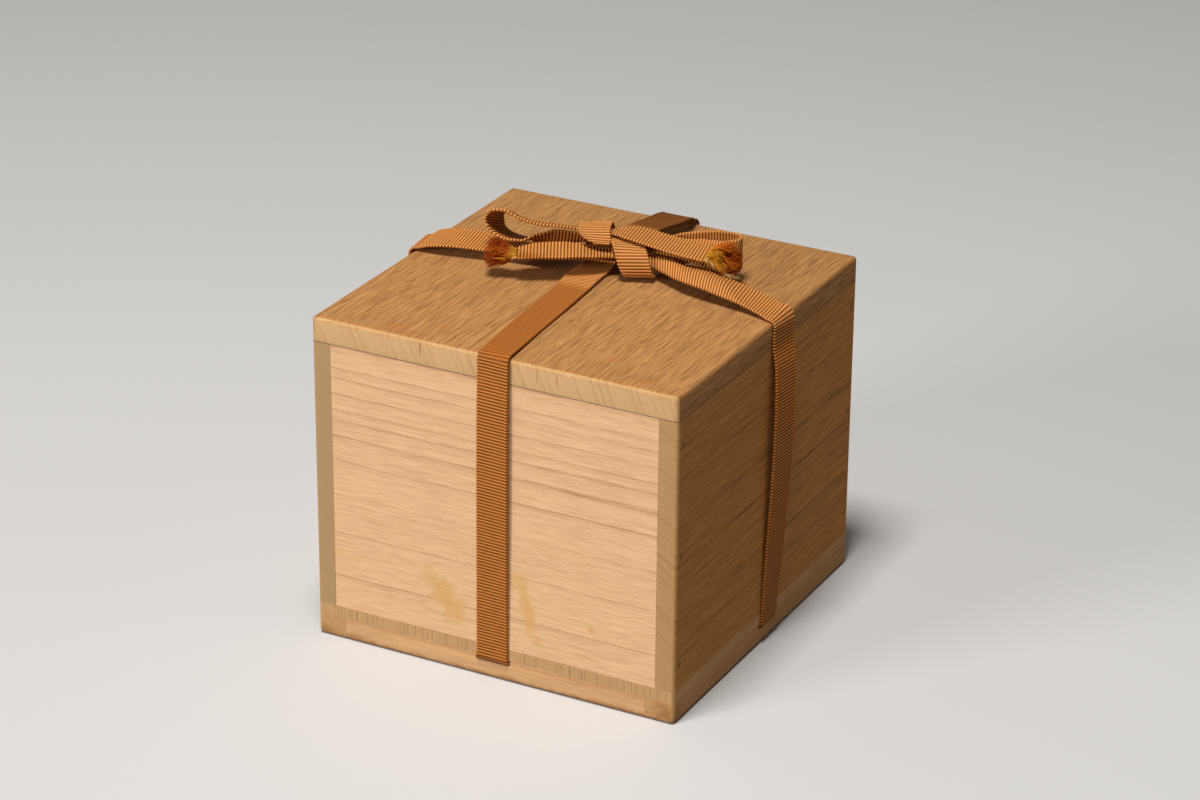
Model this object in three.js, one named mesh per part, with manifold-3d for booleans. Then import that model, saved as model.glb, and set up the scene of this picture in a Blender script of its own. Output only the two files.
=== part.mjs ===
// Wooden storage box for a tea bowl, standing on a foot-rail frame, with a flat
// lid on four battens and a ribbon tied both ways round it in a bow.
// Millimetres. Origin at the middle of the underside of the foot rails,
// X to the right along the front, Y towards the back, Z up.

import * as THREE from 'three';
import { RoundedBoxGeometry } from 'three/addons/geometries/RoundedBoxGeometry.js';
import { mergeVertices } from 'three/addons/utils/BufferGeometryUtils.js';
import Module from 'manifold-3d';

const wasm = await Module();
wasm.setup();

// Outside of the box
const BOX_WIDTH = 140;
const BOX_DEPTH = 140;
const WALL_HEIGHT = 99.8;
const EDGE_RADIUS = 1.5;
const EDGE_STEPS = 3;

// Boards
const RAIL_HEIGHT = 8;
const RAIL_WIDTH = 11;
const BASE_THICKNESS = 4.2;
const WALL_THICKNESS = 7.2;
const LID_THICKNESS = 9;

// Lid battens, which drop inside the walls and keep the lid in place
const BATTEN_HEIGHT = 8;
const BATTEN_WIDTH = 7;
const BATTEN_CLEARANCE = 0.5;
const BATTEN_CHAMFER = 1.2;

// Wooden pegs
const PEG_DIAMETER = 2.3;
const PEG_CLEARANCE = 0.05;
const PEG_SIDES = 12;
const PEG_BITE = 12;
const PEG_HEAD_DEPTH = 0.2;
const PEGS_PER_CORNER = 3;
const WALL_PEG_INSET = 9.4;
const BASE_PEG_INSET = 28;
const BASE_PEG_BITE = 9;
const LID_PEG_INSET = 24.3;
const LID_PEG_BITE = 5;

// Ribbon
const RIBBON_WIDTH = 12.4;
const RIBBON_THICKNESS = 0.9;
const RIBBON_CLEARANCE = 0.15;
const RIBBON_SEAM = 0.2;
const NOTCH_WIDTH = 13.4;
const NOTCH_DEPTH = 2.2;
const BEND_STEPS = 4;
const DROP_STEPS = 6;
const BULGE_EARLY = 0.65;
const CROSSING_REACH = 20;
const CROSSING_DIP = 1.4;
const FOOT_OFFSET_X = 0.3;
const FOOT_OFFSET_Y = 2.4;

// Frayed ends of the ribbon
const TUFT_LENGTH = 10.5;
const TUFT_ROOT = 2.1;
const TUFT_SPREAD = 4.5;
const TUFT_LOBES = 7;
const TUFT_RAGGEDNESS = 0.16;
const TUFT_FLATNESS = 0.72;
const TUFT_GAP = 0.3;

// Heights, from the ground up
const BASE_BOTTOM = RAIL_HEIGHT;
const WALL_BOTTOM = BASE_BOTTOM + BASE_THICKNESS;
const WALL_TOP = WALL_BOTTOM + WALL_HEIGHT;
const LID_TOP = WALL_TOP + LID_THICKNESS;

// Half sizes across the box
const HALF_X = BOX_WIDTH / 2;
const HALF_Y = BOX_DEPTH / 2;
const INNER_X = HALF_X - WALL_THICKNESS;
const INNER_Y = HALF_Y - WALL_THICKNESS;

const WOOD = { color: 0xc9a06a, roughness: 0.72, metalness: 0 };
const LID_WOOD = { color: 0xb68a55, roughness: 0.7, metalness: 0 };
const PEG_WOOD = { color: 0x9a6f3f, roughness: 0.75, metalness: 0 };
const RIBBON = { color: 0xa8672a, roughness: 0.6, metalness: 0 };
const FRAYED = { color: 0xb9641c, roughness: 0.9, metalness: 0 };

const part = new THREE.Group();

function addMesh(name, geometry, finish) {
  geometry.computeVertexNormals();
  const mesh = new THREE.Mesh(geometry, new THREE.MeshStandardMaterial(finish));
  mesh.name = name;
  part.add(mesh);
  return mesh;
}

// Closed three.js geometry to a solid, and back
function toSolid(geometry) {
  const bare = geometry.clone();
  bare.deleteAttribute('normal');
  bare.deleteAttribute('uv');
  const merged = mergeVertices(bare, 1e-4);
  return new wasm.Manifold(new wasm.Mesh({
    numProp: 3,
    vertProperties: new Float32Array(merged.attributes.position.array),
    triVerts: new Uint32Array(merged.index.array),
  }));
}

function toGeometry(solid) {
  const mesh = solid.getMesh();
  const geometry = new THREE.BufferGeometry();
  geometry.setAttribute('position', new THREE.BufferAttribute(mesh.vertProperties, 3));
  geometry.setIndex(new THREE.BufferAttribute(mesh.triVerts, 1));
  return geometry;
}

function block(x0, x1, y0, y1, z0, z1) {
  const geometry = new THREE.BoxGeometry(x1 - x0, y1 - y0, z1 - z0);
  geometry.translate((x0 + x1) / 2, (y0 + y1) / 2, (z0 + z1) / 2);
  return geometry;
}

// One rounded body that all the outer boards are cut from, so that the
// roundings run on from board to board
function envelope() {
  const geometry = new RoundedBoxGeometry(BOX_WIDTH, BOX_DEPTH, LID_TOP, EDGE_STEPS, EDGE_RADIUS);
  geometry.translate(0, 0, LID_TOP / 2);
  return toSolid(geometry);
}

const outside = envelope();

function board(x0, x1, y0, y1, z0, z1) {
  return toSolid(block(x0, x1, y0, y1, z0, z1)).intersect(outside);
}

// A peg is a plain rod; its hole is a little wider
function rod(start, direction, length, radius) {
  const geometry = new THREE.CylinderGeometry(radius, radius, length, PEG_SIDES);
  geometry.translate(0, length / 2, 0);
  const turn = new THREE.Quaternion().setFromUnitVectors(new THREE.Vector3(0, 1, 0), direction);
  geometry.applyQuaternion(turn);
  geometry.translate(start.x, start.y, start.z);
  return geometry;
}

function pegGeometry(peg) {
  return rod(peg.start, peg.direction, peg.length, PEG_DIAMETER / 2);
}

function pegHole(peg) {
  const from = peg.start.clone().addScaledVector(peg.direction, -2 * PEG_HEAD_DEPTH);
  const length = peg.length + 2 * PEG_HEAD_DEPTH + PEG_CLEARANCE;
  return toSolid(rod(from, peg.direction, length, PEG_DIAMETER / 2 + PEG_CLEARANCE));
}

function drill(solid, pegs) {
  let drilled = solid;
  for (const peg of pegs) drilled = drilled.subtract(pegHole(peg));
  return drilled;
}

// Pegs through the side walls into the ends of the front and back walls
function wallPegs(side, end) {
  const first = WALL_BOTTOM + WALL_PEG_INSET;
  const last = WALL_TOP - WALL_PEG_INSET;
  const pegs = [];
  for (let i = 0; i < PEGS_PER_CORNER; i += 1) {
    const z = THREE.MathUtils.lerp(first, last, i / (PEGS_PER_CORNER - 1));
    pegs.push({
      start: new THREE.Vector3(side * (HALF_X - PEG_HEAD_DEPTH), end * (HALF_Y - WALL_THICKNESS / 2), z),
      direction: new THREE.Vector3(-side, 0, 0),
      length: WALL_THICKNESS - PEG_HEAD_DEPTH + PEG_BITE,
    });
  }
  return pegs;
}

// Pegs up through the foot rails and the base board into the walls
function basePegs(alongX, side) {
  return [-1, 1].map((end) => {
    const along = end * ((alongX ? HALF_X : HALF_Y) - BASE_PEG_INSET);
    const across = side * ((alongX ? HALF_Y : HALF_X) - WALL_THICKNESS / 2);
    return {
      start: new THREE.Vector3(alongX ? along : across, alongX ? across : along, PEG_HEAD_DEPTH),
      direction: new THREE.Vector3(0, 0, 1),
      length: WALL_BOTTOM + BASE_PEG_BITE - PEG_HEAD_DEPTH,
    };
  });
}

// Pegs up through the battens into the lid
function lidPegs(alongX, side) {
  return [-1, 1].map((end) => {
    const along = end * ((alongX ? INNER_X : INNER_Y) - BATTEN_CLEARANCE - LID_PEG_INSET);
    const across = side * ((alongX ? INNER_Y : INNER_X) - BATTEN_CLEARANCE - BATTEN_WIDTH / 2);
    return {
      start: new THREE.Vector3(
        alongX ? along : across,
        alongX ? across : along,
        WALL_TOP - BATTEN_HEIGHT + PEG_HEAD_DEPTH,
      ),
      direction: new THREE.Vector3(0, 0, 1),
      length: BATTEN_HEIGHT - PEG_HEAD_DEPTH + LID_PEG_BITE,
    };
  });
}

// The four sides, with how far off the middle the ribbon lies at the lid and at the foot,
// how loosely it goes round the lid's edge, how far it stands off the wall, and how far it
// is twisted there
const SIDES = [
  {
    name: 'front', alongX: true, side: -1,
    atLid: 1.2, atFoot: FOOT_OFFSET_X, slack: 0.3, bulge: 0.6, twist: 0.05,
  },
  {
    name: 'back', alongX: true, side: 1,
    atLid: 0.6, atFoot: FOOT_OFFSET_X, slack: 1.0, bulge: 0.6, twist: 0,
  },
  {
    name: 'left', alongX: false, side: -1,
    atLid: 3.4, atFoot: FOOT_OFFSET_Y, slack: 1.2, bulge: 0.6, twist: 0.08,
  },
  {
    name: 'right', alongX: false, side: 1,
    atLid: 5.6, atFoot: FOOT_OFFSET_Y, slack: 1.1, bulge: 2.4, twist: 0.15,
  },
];
const [FRONT, BACK, LEFT, RIGHT] = SIDES;

const cornerPegs = new Map();
for (const [sideName, side] of [['left', -1], ['right', 1]]) {
  for (const [endName, end] of [['front', -1], ['back', 1]]) {
    cornerPegs.set(`${endName}_${sideName}`, wallPegs(side, end));
  }
}
const allWallPegs = [...cornerPegs.values()].flat();
const allBasePegs = SIDES.flatMap((s) => basePegs(s.alongX, s.side));

// The slots under the base board that the ribbon passes through
function notch({ alongX, atFoot }) {
  const z0 = RAIL_HEIGHT - NOTCH_DEPTH;
  const z1 = RAIL_HEIGHT + NOTCH_DEPTH;
  const low = atFoot - NOTCH_WIDTH / 2;
  const high = atFoot + NOTCH_WIDTH / 2;
  const geometry = alongX
    ? block(low, high, -BOX_DEPTH, BOX_DEPTH, z0, z1)
    : block(-BOX_WIDTH, BOX_WIDTH, low, high, z0, z1);
  return toSolid(geometry);
}

// A box standing along one side of the box, between two depths from its outside
function sideBoard({ alongX, side }, reach, outer, inner, z0, z1) {
  const half = alongX ? HALF_Y : HALF_X;
  const near = side * (half - outer);
  const far = side * (half - inner);
  const low = Math.min(near, far);
  const high = Math.max(near, far);
  return alongX
    ? board(-reach, reach, low, high, z0, z1)
    : board(low, high, -reach, reach, z0, z1);
}

function addFootRails() {
  for (const s of SIDES) {
    const reach = s.alongX ? HALF_X - RAIL_WIDTH : HALF_Y;
    const rail = sideBoard(s, reach, 0, RAIL_WIDTH, 0, RAIL_HEIGHT).subtract(notch(s));
    addMesh(`foot_rail_${s.name}`, toGeometry(drill(rail, basePegs(s.alongX, s.side))), WOOD);
  }
}

function addBaseBoard() {
  const base = board(-HALF_X, HALF_X, -HALF_Y, HALF_Y, BASE_BOTTOM, WALL_BOTTOM);
  addMesh('base_board', toGeometry(drill(base, allBasePegs)), WOOD);
}

function addWalls() {
  for (const s of SIDES) {
    const reach = s.alongX ? INNER_X : HALF_Y;
    const wall = sideBoard(s, reach, 0, WALL_THICKNESS, WALL_BOTTOM, WALL_TOP);
    const pegs = [...allWallPegs, ...basePegs(s.alongX, s.side)];
    addMesh(`wall_${s.name}`, toGeometry(drill(wall, pegs)), WOOD);
  }
}

function addPegs() {
  for (const [corner, pegs] of cornerPegs) {
    pegs.forEach((peg, i) => addMesh(`wall_peg_${corner}_${i + 1}`, pegGeometry(peg), PEG_WOOD));
  }
  for (const s of SIDES) {
    basePegs(s.alongX, s.side).forEach((peg, i) => {
      addMesh(`base_peg_${s.name}_${i + 1}`, pegGeometry(peg), PEG_WOOD);
    });
    lidPegs(s.alongX, s.side).forEach((peg, i) => {
      addMesh(`lid_peg_${s.name}_${i + 1}`, pegGeometry(peg), PEG_WOOD);
    });
  }
}

function addLid() {
  const lid = board(-HALF_X, HALF_X, -HALF_Y, HALF_Y, WALL_TOP, LID_TOP);
  const pegs = SIDES.flatMap((s) => lidPegs(s.alongX, s.side));
  addMesh('lid_board', toGeometry(drill(lid, pegs)), LID_WOOD);
}

// A batten's section: square at the top, chamfered along its outer lower edge
function battenProfile() {
  const profile = new THREE.Shape();
  profile.moveTo(0, 0);
  profile.lineTo(0, -BATTEN_HEIGHT + BATTEN_CHAMFER);
  profile.lineTo(BATTEN_CHAMFER, -BATTEN_HEIGHT);
  profile.lineTo(BATTEN_WIDTH, -BATTEN_HEIGHT);
  profile.lineTo(BATTEN_WIDTH, 0);
  profile.closePath();
  return profile;
}

function addBattens() {
  const outerX = INNER_X - BATTEN_CLEARANCE;
  const outerY = INNER_Y - BATTEN_CLEARANCE;
  const turns = { front: 0, right: 1, back: 2, left: 3 };
  for (const s of SIDES) {
    const length = 2 * (s.alongX ? outerX : outerY - BATTEN_WIDTH);
    const geometry = new THREE.ExtrudeGeometry(battenProfile(), { depth: length, bevelEnabled: false });
    geometry.translate(0, 0, -length / 2);
    geometry.rotateX(Math.PI / 2);
    geometry.rotateZ(Math.PI / 2);
    geometry.translate(0, -(s.alongX ? outerY : outerX), WALL_TOP);
    geometry.rotateZ(turns[s.name] * Math.PI / 2);
    const batten = drill(toSolid(geometry), lidPegs(s.alongX, s.side));
    addMesh(`lid_batten_${s.name}`, toGeometry(batten), WOOD);
  }
}

// A station of the ribbon: its middle, the way its width runs, and its share of the full width
function station(x, y, z, wx, wy, wz, share = 1) {
  return {
    middle: new THREE.Vector3(x, y, z),
    across: new THREE.Vector3(wx, wy, wz).normalize(),
    share,
  };
}

// Stations by hand on the lid: x, y, height over the lid, width direction, share
function onLid(list) {
  return list.map(([x, y, h, ...rest]) => station(x, y, LID_TOP + h, ...rest));
}

// More stations between those given, on smooth curves through all of them
function smoothed(stations, stepsEach) {
  const middles = new THREE.CatmullRomCurve3(stations.map((s) => s.middle), false, 'centripetal');
  const across = new THREE.CatmullRomCurve3(stations.map((s) => s.across), false, 'catmullrom');
  const count = (stations.length - 1) * stepsEach;
  const result = [];
  for (let i = 0; i <= count; i += 1) {
    const at = i / count;
    const index = Math.min(Math.floor(i / stepsEach), stations.length - 2);
    const part01 = i / stepsEach - index;
    result.push({
      middle: middles.getPoint(at),
      across: across.getPoint(at).normalize(),
      share: THREE.MathUtils.lerp(stations[index].share, stations[index + 1].share, part01),
    });
  }
  return result;
}

// A flat strip along stations: a box with a ring of corners moved to each station
function strip(stations) {
  const steps = stations.length - 1;
  const geometry = new THREE.BoxGeometry(steps, RIBBON_WIDTH, RIBBON_THICKNESS, steps, 1, 1);
  const position = geometry.attributes.position;
  for (let i = 0; i < position.count; i += 1) {
    const index = Math.round(position.getX(i) + steps / 2);
    const here = stations[index];
    const before = stations[Math.max(index - 1, 0)].middle;
    const after = stations[Math.min(index + 1, steps)].middle;
    const along = after.clone().sub(before).normalize();
    const up = along.clone().cross(here.across).normalize();
    const across = up.clone().cross(along).normalize();
    const point = here.middle.clone();
    point.addScaledVector(across, position.getY(i) * here.share);
    point.addScaledVector(up, position.getZ(i));
    position.setXYZ(i, point.x, point.y, point.z);
  }
  geometry.deleteAttribute('normal');
  geometry.deleteAttribute('uv');
  return mergeVertices(geometry, 1e-4);
}

// Points on a quarter bend in a plane: out is the sideways reach, up the height
function bend(centreOut, centreUp, radius, fromAngle, toAngle) {
  const points = [];
  for (let i = 0; i <= BEND_STEPS; i += 1) {
    const angle = THREE.MathUtils.lerp(fromAngle, toAngle, i / BEND_STEPS);
    points.push([centreOut + radius * Math.cos(angle), centreUp + radius * Math.sin(angle)]);
  }
  return points;
}

const RIBBON_LIFT = RIBBON_CLEARANCE + RIBBON_THICKNESS / 2;

// A station beside or under the box: out from its middle, up, along the side, and how
// far one edge of the ribbon stands further out and further up than the other
function sideStation({ alongX, side }, out, up, along, outward = 0, upward = 0) {
  return alongX
    ? station(along, side * out, up, 1, side * outward, upward)
    : station(side * out, along, up, side * outward, 1, upward);
}

// The ribbon leans a little from its place at the foot to its place at the lid
function lean(s, height) {
  return THREE.MathUtils.mapLinear(height, BASE_BOTTOM, LID_TOP, s.atFoot, s.atLid);
}

// One side of a sling, down the wall and round the base board into its slot
function dropStations(s) {
  const half = s.alongX ? HALF_Y : HALF_X;
  const stations = [];
  for (let i = 0; i <= DROP_STEPS; i += 1) {
    const share = i / DROP_STEPS;
    const height = THREE.MathUtils.lerp(WALL_TOP, WALL_BOTTOM, share);
    const bulge = s.bulge * Math.sin(Math.PI * share ** BULGE_EARLY);
    const out = half + RIBBON_LIFT + s.slack * (1 - share) ** 2 + bulge;
    stations.push(sideStation(s, out, height, lean(s, height), s.twist * (1 - share ** 3)));
  }
  for (const [out, up] of bend(half, BASE_BOTTOM, RIBBON_LIFT, 0, -Math.PI / 2)) {
    stations.push(sideStation(s, out, up, s.atFoot));
  }
  return stations;
}

// The ribbon up both sides and under the box; one sling dips below the other where they cross
function addSling(name, first, second, dip) {
  const crossing = sideStation(first, CROSSING_REACH, BASE_BOTTOM - RIBBON_LIFT - dip, first.atFoot);
  const beyond = sideStation(second, CROSSING_REACH, BASE_BOTTOM - RIBBON_LIFT - dip, second.atFoot);
  const stations = [...dropStations(first), crossing, beyond, ...dropStations(second).reverse()];
  addMesh(name, strip(stations), RIBBON);
}

// From just over the walls round the lid's edge onto its top
function edgeStations(s) {
  const half = s.alongX ? HALF_Y : HALF_X;
  const radius = EDGE_RADIUS + RIBBON_LIFT + s.slack;
  const over = bend(half - EDGE_RADIUS, LID_TOP - EDGE_RADIUS, radius, 0, Math.PI / 2);
  const start = WALL_TOP + RIBBON_SEAM;
  const stations = [sideStation(s, half + RIBBON_LIFT + s.slack, start, lean(s, start), s.twist)];
  over.forEach(([out, up], i) => {
    const angle = Math.PI / 2 * i / BEND_STEPS;
    const outward = s.twist * Math.cos(angle);
    stations.push(sideStation(s, out, up, lean(s, up), outward, s.twist * Math.sin(angle)));
  });
  return stations;
}

// Stations by hand near the lid's edge: inset from the edge, place along it, height
// over the lid, width direction
function fromEdge({ alongX, side }, list) {
  const half = alongX ? HALF_Y : HALF_X;
  return list.map(([inset, along, h, wx, wy, wz]) => {
    const out = side * (half - inset);
    return station(alongX ? along : out, alongX ? out : along, LID_TOP + h, wx, wy, wz);
  });
}

// The four laps over the lid: first the run from the edge, then the way into the knot
const LAPS = [
  {
    side: FRONT,
    run: [
      [24, -0.8, 0.7, 0.99, 0.05, 0], [44, -2, 0.8, 0.99, 0.08, 0],
    ],
    // Goes under the knot, up behind it, over the top and down in front
    knot: [
      [-3.2, -8, 1, 0.97, 0.2, 0], [-4, 3, 1.4, 0.94, 0.33, -0.05],
      [-3.8, 11.5, 1.8, 0.9, 0.42, -0.1, 0.95], [-5.4, 18.5, 2.2, 0.9, 0.42, 0, 0.9],
      [-8.2, 23, 5.4, 0.9, 0.42, 0, 0.9], [-8.8, 23.4, 10.6, 0.9, 0.43, 0, 0.92],
      [-8, 20.4, 14.6, 0.89, 0.45, 0.04, 0.92], [-6.3, 15.6, 15.5, 0.88, 0.47, 0.04, 0.92],
      [-4.8, 12, 14.7, 0.9, 0.43, 0.01, 0.92], [-2.9, 10, 12.7, 0.9, 0.38, -0.05, 0.86],
      [-1.8, 9.6, 11.8, 0.86, 0.44, -0.06, 0.62], [-1, 9.6, 11, 0.86, 0.44, -0.06, 0.4],
    ],
  },
  {
    side: BACK,
    run: [
      [7, 2, 4.4, 0.99, 0.1, -0.04], [13.5, 2.8, 6.2, 0.98, 0.16, -0.06],
      [22.2, 3.6, 7.9, 0.95, 0.28, -0.08],
    ],
    // Rises to the knot, goes over its right half and down in front, and tucks under
    knot: [
      [3.6, 38.2, 9.6, 0.92, 0.36, -0.08], [4.2, 27, 11.4, 0.9, 0.43, -0.08],
      [5, 20.5, 12.1, 0.88, 0.45, -0.02, 0.9], [5.8, 16, 12.1, 0.87, 0.47, -0.02, 0.9],
      [8.6, 12.2, 11.9, 0.9, 0.43, -0.06, 0.95], [11.1, 9.6, 9.6, 0.91, 0.41, 0.03, 0.95],
      [12.6, 8.8, 6.2, 0.92, 0.36, 0.05, 0.93], [13.6, 9.6, 3, 0.92, 0.38, 0.02, 0.88],
      [13.4, 12.6, 1.3, 0.9, 0.43, 0, 0.84],
    ],
  },
  {
    side: LEFT,
    run: [
      [5, 3.2, 3.6, 0.05, 0.97, 0.2], [10, 3.4, 4.9, 0.03, 0.97, 0.22],
      [17, 4.6, 5.4, -0.02, 0.97, 0.2], [26, 6.8, 4.8, -0.07, 0.98, 0.13],
    ],
    knot: [
      [-34, 9.4, 4, -0.06, 0.99, 0.02], [-22, 11, 3.6, -0.05, 0.99, 0],
      [-12, 12.4, 4.4, -0.1, 0.98, -0.05, 0.75], [-4, 13.2, 5.2, -0.1, 0.98, -0.05, 0.65],
      [4, 13.8, 5.2, -0.1, 0.97, -0.1, 0.55],
    ],
  },
  {
    side: RIGHT,
    run: [
      [7, 7.2, 2.6, 0, 0.99, 0.1], [14, 8.6, 3.7, -0.1, 0.98, 0.12], [24, 9.8, 4.9, -0.2, 0.97, 0.15],
    ],
    knot: [
      [38, 11, 5.6, -0.25, 0.95, 0.14], [31, 12, 5.7, -0.3, 0.93, 0.12, 0.95],
      [24, 13.8, 6.2, -0.33, 0.85, 0.4, 0.7], [18, 15, 6.3, -0.35, 0.75, 0.55, 0.45],
      [12.5, 15.2, 6, -0.3, 0.8, 0.45, 0.4],
    ],
  },
];

// Loops and tails of the bow: x, y, height over the lid, width direction, share of the width
const BOW = {
  bow_loop_left: [
    [-4.6, 16.4, 12.2, -0.42, 0.86, -0.24, 0.42], [-8.6, 16.1, 12.5, -0.42, 0.84, -0.28, 0.4],
    [-13.5, 14.6, 13.5, -0.42, 0.84, -0.3, 0.62], [-19, 12.4, 14.2, -0.42, 0.84, -0.31],
    [-25, 9.6, 14.8, -0.42, 0.84, -0.3], [-31.9, 7.8, 16.2, -0.4, 0.85, -0.32],
    [-37.4, 7.6, 17.9, -0.26, 0.88, -0.38], [-41.6, 8.2, 16.5, -0.02, 0.93, -0.36],
    [-42.9, 8.6, 12.8, 0.12, 0.93, -0.34], [-41.5, 8.2, 10.2, 0.05, 0.93, -0.24],
    [-37, 8.4, 8.2, -0.13, 0.93, -0.2], [-31.1, 9, 7.9, -0.22, 0.94, -0.27],
    [-25.6, 10, 8.6, -0.32, 0.69, -0.65], [-20.4, 12, 9.3, -0.31, 0.49, -0.81, 0.95],
    [-15.9, 14, 9.6, -0.33, 0.5, -0.8, 0.75], [-11, 15.8, 10, -0.4, 0.6, -0.7, 0.55],
    [-4.6, 16.6, 10.2, -0.45, 0.7, -0.55, 0.4],
  ],
  bow_loop_right: [
    [8.5, 18.2, 9.4, -0.2, 0.96, 0.1, 0.45], [14.5, 20.6, 10.4, -0.2, 0.96, 0.16, 0.8],
    [23, 22.4, 10.4, -0.2, 0.95, 0.2, 0.95], [31, 23.8, 9.9, -0.14, 0.86, 0.44],
    [37.5, 22.8, 9.6, -0.04, 0.6, 0.8], [42.6, 23.8, 10.4, 0.02, 0.3, 0.95],
    [44.4, 26.6, 10.8, 0, 0.1, 0.99], [43.4, 29.4, 11.1, 0, -0.08, 0.99],
    [37, 30.8, 10.8, 0, -0.12, 0.99], [28.5, 30.6, 9.2, 0, -0.1, 0.99],
    [20, 28.4, 7.4, 0, 0.1, 0.99, 0.95], [13.6, 23.4, 6.6, -0.1, 0.6, 0.8, 0.7],
    [9, 19.2, 6.8, -0.2, 0.9, 0.3, 0.45],
  ],
  bow_tail_left: [
    [6, 13.4, 7.8, -0.45, 0.88, 0.1, 0.4], [1.8, 12, 7.9, -0.46, 0.88, 0.1, 0.5],
    [-2.4, 8.3, 8.7, -0.46, 0.88, 0, 0.75], [-7.5, 5, 9.7, -0.46, 0.88, 0.05, 0.95],
    [-12.4, 2, 9.9, -0.46, 0.88, 0.09], [-19.9, -2.5, 9.8, -0.46, 0.88, 0.06],
    [-23.4, -4.9, 9.4, -0.46, 0.88, 0.02, 0.95], [-25.6, -6.4, 9.1, -0.46, 0.88, 0, 0.85],
  ],
  bow_tail_right: [
    [-1.6, 17.2, 13.4, -0.25, 0.95, -0.02, 0.38], [1.4, 17.4, 13.9, -0.2, 0.97, 0, 0.45],
    [5.6, 18, 14.4, -0.15, 0.98, 0.04, 0.85], [10.8, 18.8, 13.9, -0.13, 0.99, 0.04],
    [17, 18.8, 13.2, -0.12, 0.99, 0.05], [23.5, 18.6, 12.7, -0.13, 0.99, 0.08],
    [30, 18.4, 12.5, -0.15, 0.98, 0.1], [36, 18.4, 12.3, -0.2, 0.97, 0.1],
  ],
};

// Which way each frayed end points from the end of its tail
const TUFTS = [
  { name: 'tail_tuft_left', tail: 'bow_tail_left', heading: [-0.95, -0.22, -0.18] },
  { name: 'tail_tuft_right', tail: 'bow_tail_right', heading: [0.97, 0.02, -0.16] },
];

const STEPS_BETWEEN = 3;

function addLaps() {
  for (const lap of LAPS) {
    const edge = edgeStations(lap.side);
    const onto = edge.pop();
    const free = [onto, ...fromEdge(lap.side, lap.run), ...onLid(lap.knot)];
    const stations = [...edge, ...smoothed(free, STEPS_BETWEEN)];
    addMesh(`ribbon_lap_${lap.side.name}`, strip(stations), RIBBON);
  }
}

function addBow() {
  for (const [name, list] of Object.entries(BOW)) {
    addMesh(name, strip(smoothed(onLid(list), STEPS_BETWEEN)), RIBBON);
  }
}

// A frayed end: a small brush, narrow where the weave holds and spread at the tips
function tuftGeometry() {
  const profile = [
    [0, 0], [TUFT_ROOT, 0], [TUFT_ROOT, 0.2], [(TUFT_ROOT + TUFT_SPREAD) / 2, 0.5],
    [TUFT_SPREAD, 0.8], [TUFT_SPREAD * 0.9, 0.95], [TUFT_SPREAD * 0.5, 1], [0, 0.97],
  ].map(([radius, share]) => new THREE.Vector2(radius, share * TUFT_LENGTH));
  const geometry = new THREE.LatheGeometry(profile, 2 * TUFT_LOBES);
  const position = geometry.attributes.position;
  for (let i = 0; i < position.count; i += 1) {
    const share = position.getY(i) / TUFT_LENGTH;
    const angle = Math.atan2(position.getX(i), position.getZ(i));
    const ragged = 1 + TUFT_RAGGEDNESS * share * Math.cos(TUFT_LOBES * angle);
    position.setX(i, position.getX(i) * ragged);
    position.setZ(i, position.getZ(i) * ragged * TUFT_FLATNESS);
  }
  geometry.deleteAttribute('normal');
  geometry.deleteAttribute('uv');
  return mergeVertices(geometry, 1e-3);
}

function addTufts() {
  const up = new THREE.Vector3(0, 1, 0);
  for (const { name, tail, heading } of TUFTS) {
    const end = onLid(BOW[tail]).at(-1).middle;
    const direction = new THREE.Vector3(...heading).normalize();
    const tuft = addMesh(name, tuftGeometry(), FRAYED);
    tuft.quaternion.setFromUnitVectors(up, direction);
    tuft.position.copy(end).addScaledVector(direction, TUFT_ROOT * 0.5 + TUFT_GAP);
  }
}

addFootRails();
addBaseBoard();
addWalls();
addPegs();
addLid();
addBattens();
addSling('ribbon_sling_front_back', FRONT, BACK, 0);
addSling('ribbon_sling_left_right', LEFT, RIGHT, CROSSING_DIP);
addLaps();
addBow();
addTufts();

export default part;
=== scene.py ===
"""Looks of a wooden box for a tea bowl, tied both ways round with a ribbed ribbon.

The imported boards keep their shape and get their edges, grain and wear here.
The ribbon, its bow and its frayed ends are made here round the same routes
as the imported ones. Metres, +X right along the front, +Y back, +Z up.
"""

import logging
import math
import random
from dataclasses import dataclass, field
from enum import Enum
from typing import Callable, Iterable, Sequence

import bmesh
import bpy
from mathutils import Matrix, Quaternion, Vector

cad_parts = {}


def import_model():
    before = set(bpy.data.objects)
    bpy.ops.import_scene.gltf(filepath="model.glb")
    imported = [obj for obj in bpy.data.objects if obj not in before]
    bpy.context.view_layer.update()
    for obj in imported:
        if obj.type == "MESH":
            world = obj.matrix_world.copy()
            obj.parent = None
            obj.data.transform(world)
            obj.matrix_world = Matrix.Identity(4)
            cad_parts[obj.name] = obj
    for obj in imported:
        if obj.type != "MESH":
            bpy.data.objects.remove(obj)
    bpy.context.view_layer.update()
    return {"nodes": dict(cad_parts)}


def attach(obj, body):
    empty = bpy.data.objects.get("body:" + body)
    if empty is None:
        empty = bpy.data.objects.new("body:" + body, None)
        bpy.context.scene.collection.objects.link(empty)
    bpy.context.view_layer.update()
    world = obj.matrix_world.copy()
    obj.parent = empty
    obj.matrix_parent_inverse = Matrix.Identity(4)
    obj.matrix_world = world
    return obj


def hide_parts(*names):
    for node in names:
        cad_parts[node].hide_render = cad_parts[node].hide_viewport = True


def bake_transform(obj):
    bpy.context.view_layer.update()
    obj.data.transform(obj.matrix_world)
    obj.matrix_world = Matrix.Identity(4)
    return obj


logging.basicConfig(level=logging.INFO, format="%(message)s")
log = logging.getLogger("box")

MM = 0.001

Colour = tuple[float, float, float]
Point = tuple[float, float, float]
Range = tuple[float, float]
Stops = Sequence[tuple[float, float]]
Socket = bpy.types.NodeSocket
Node = bpy.types.Node
Group = bpy.types.NodeTree
Mesh = bpy.types.Mesh
Material = bpy.types.Material
Object = bpy.types.Object


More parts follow.
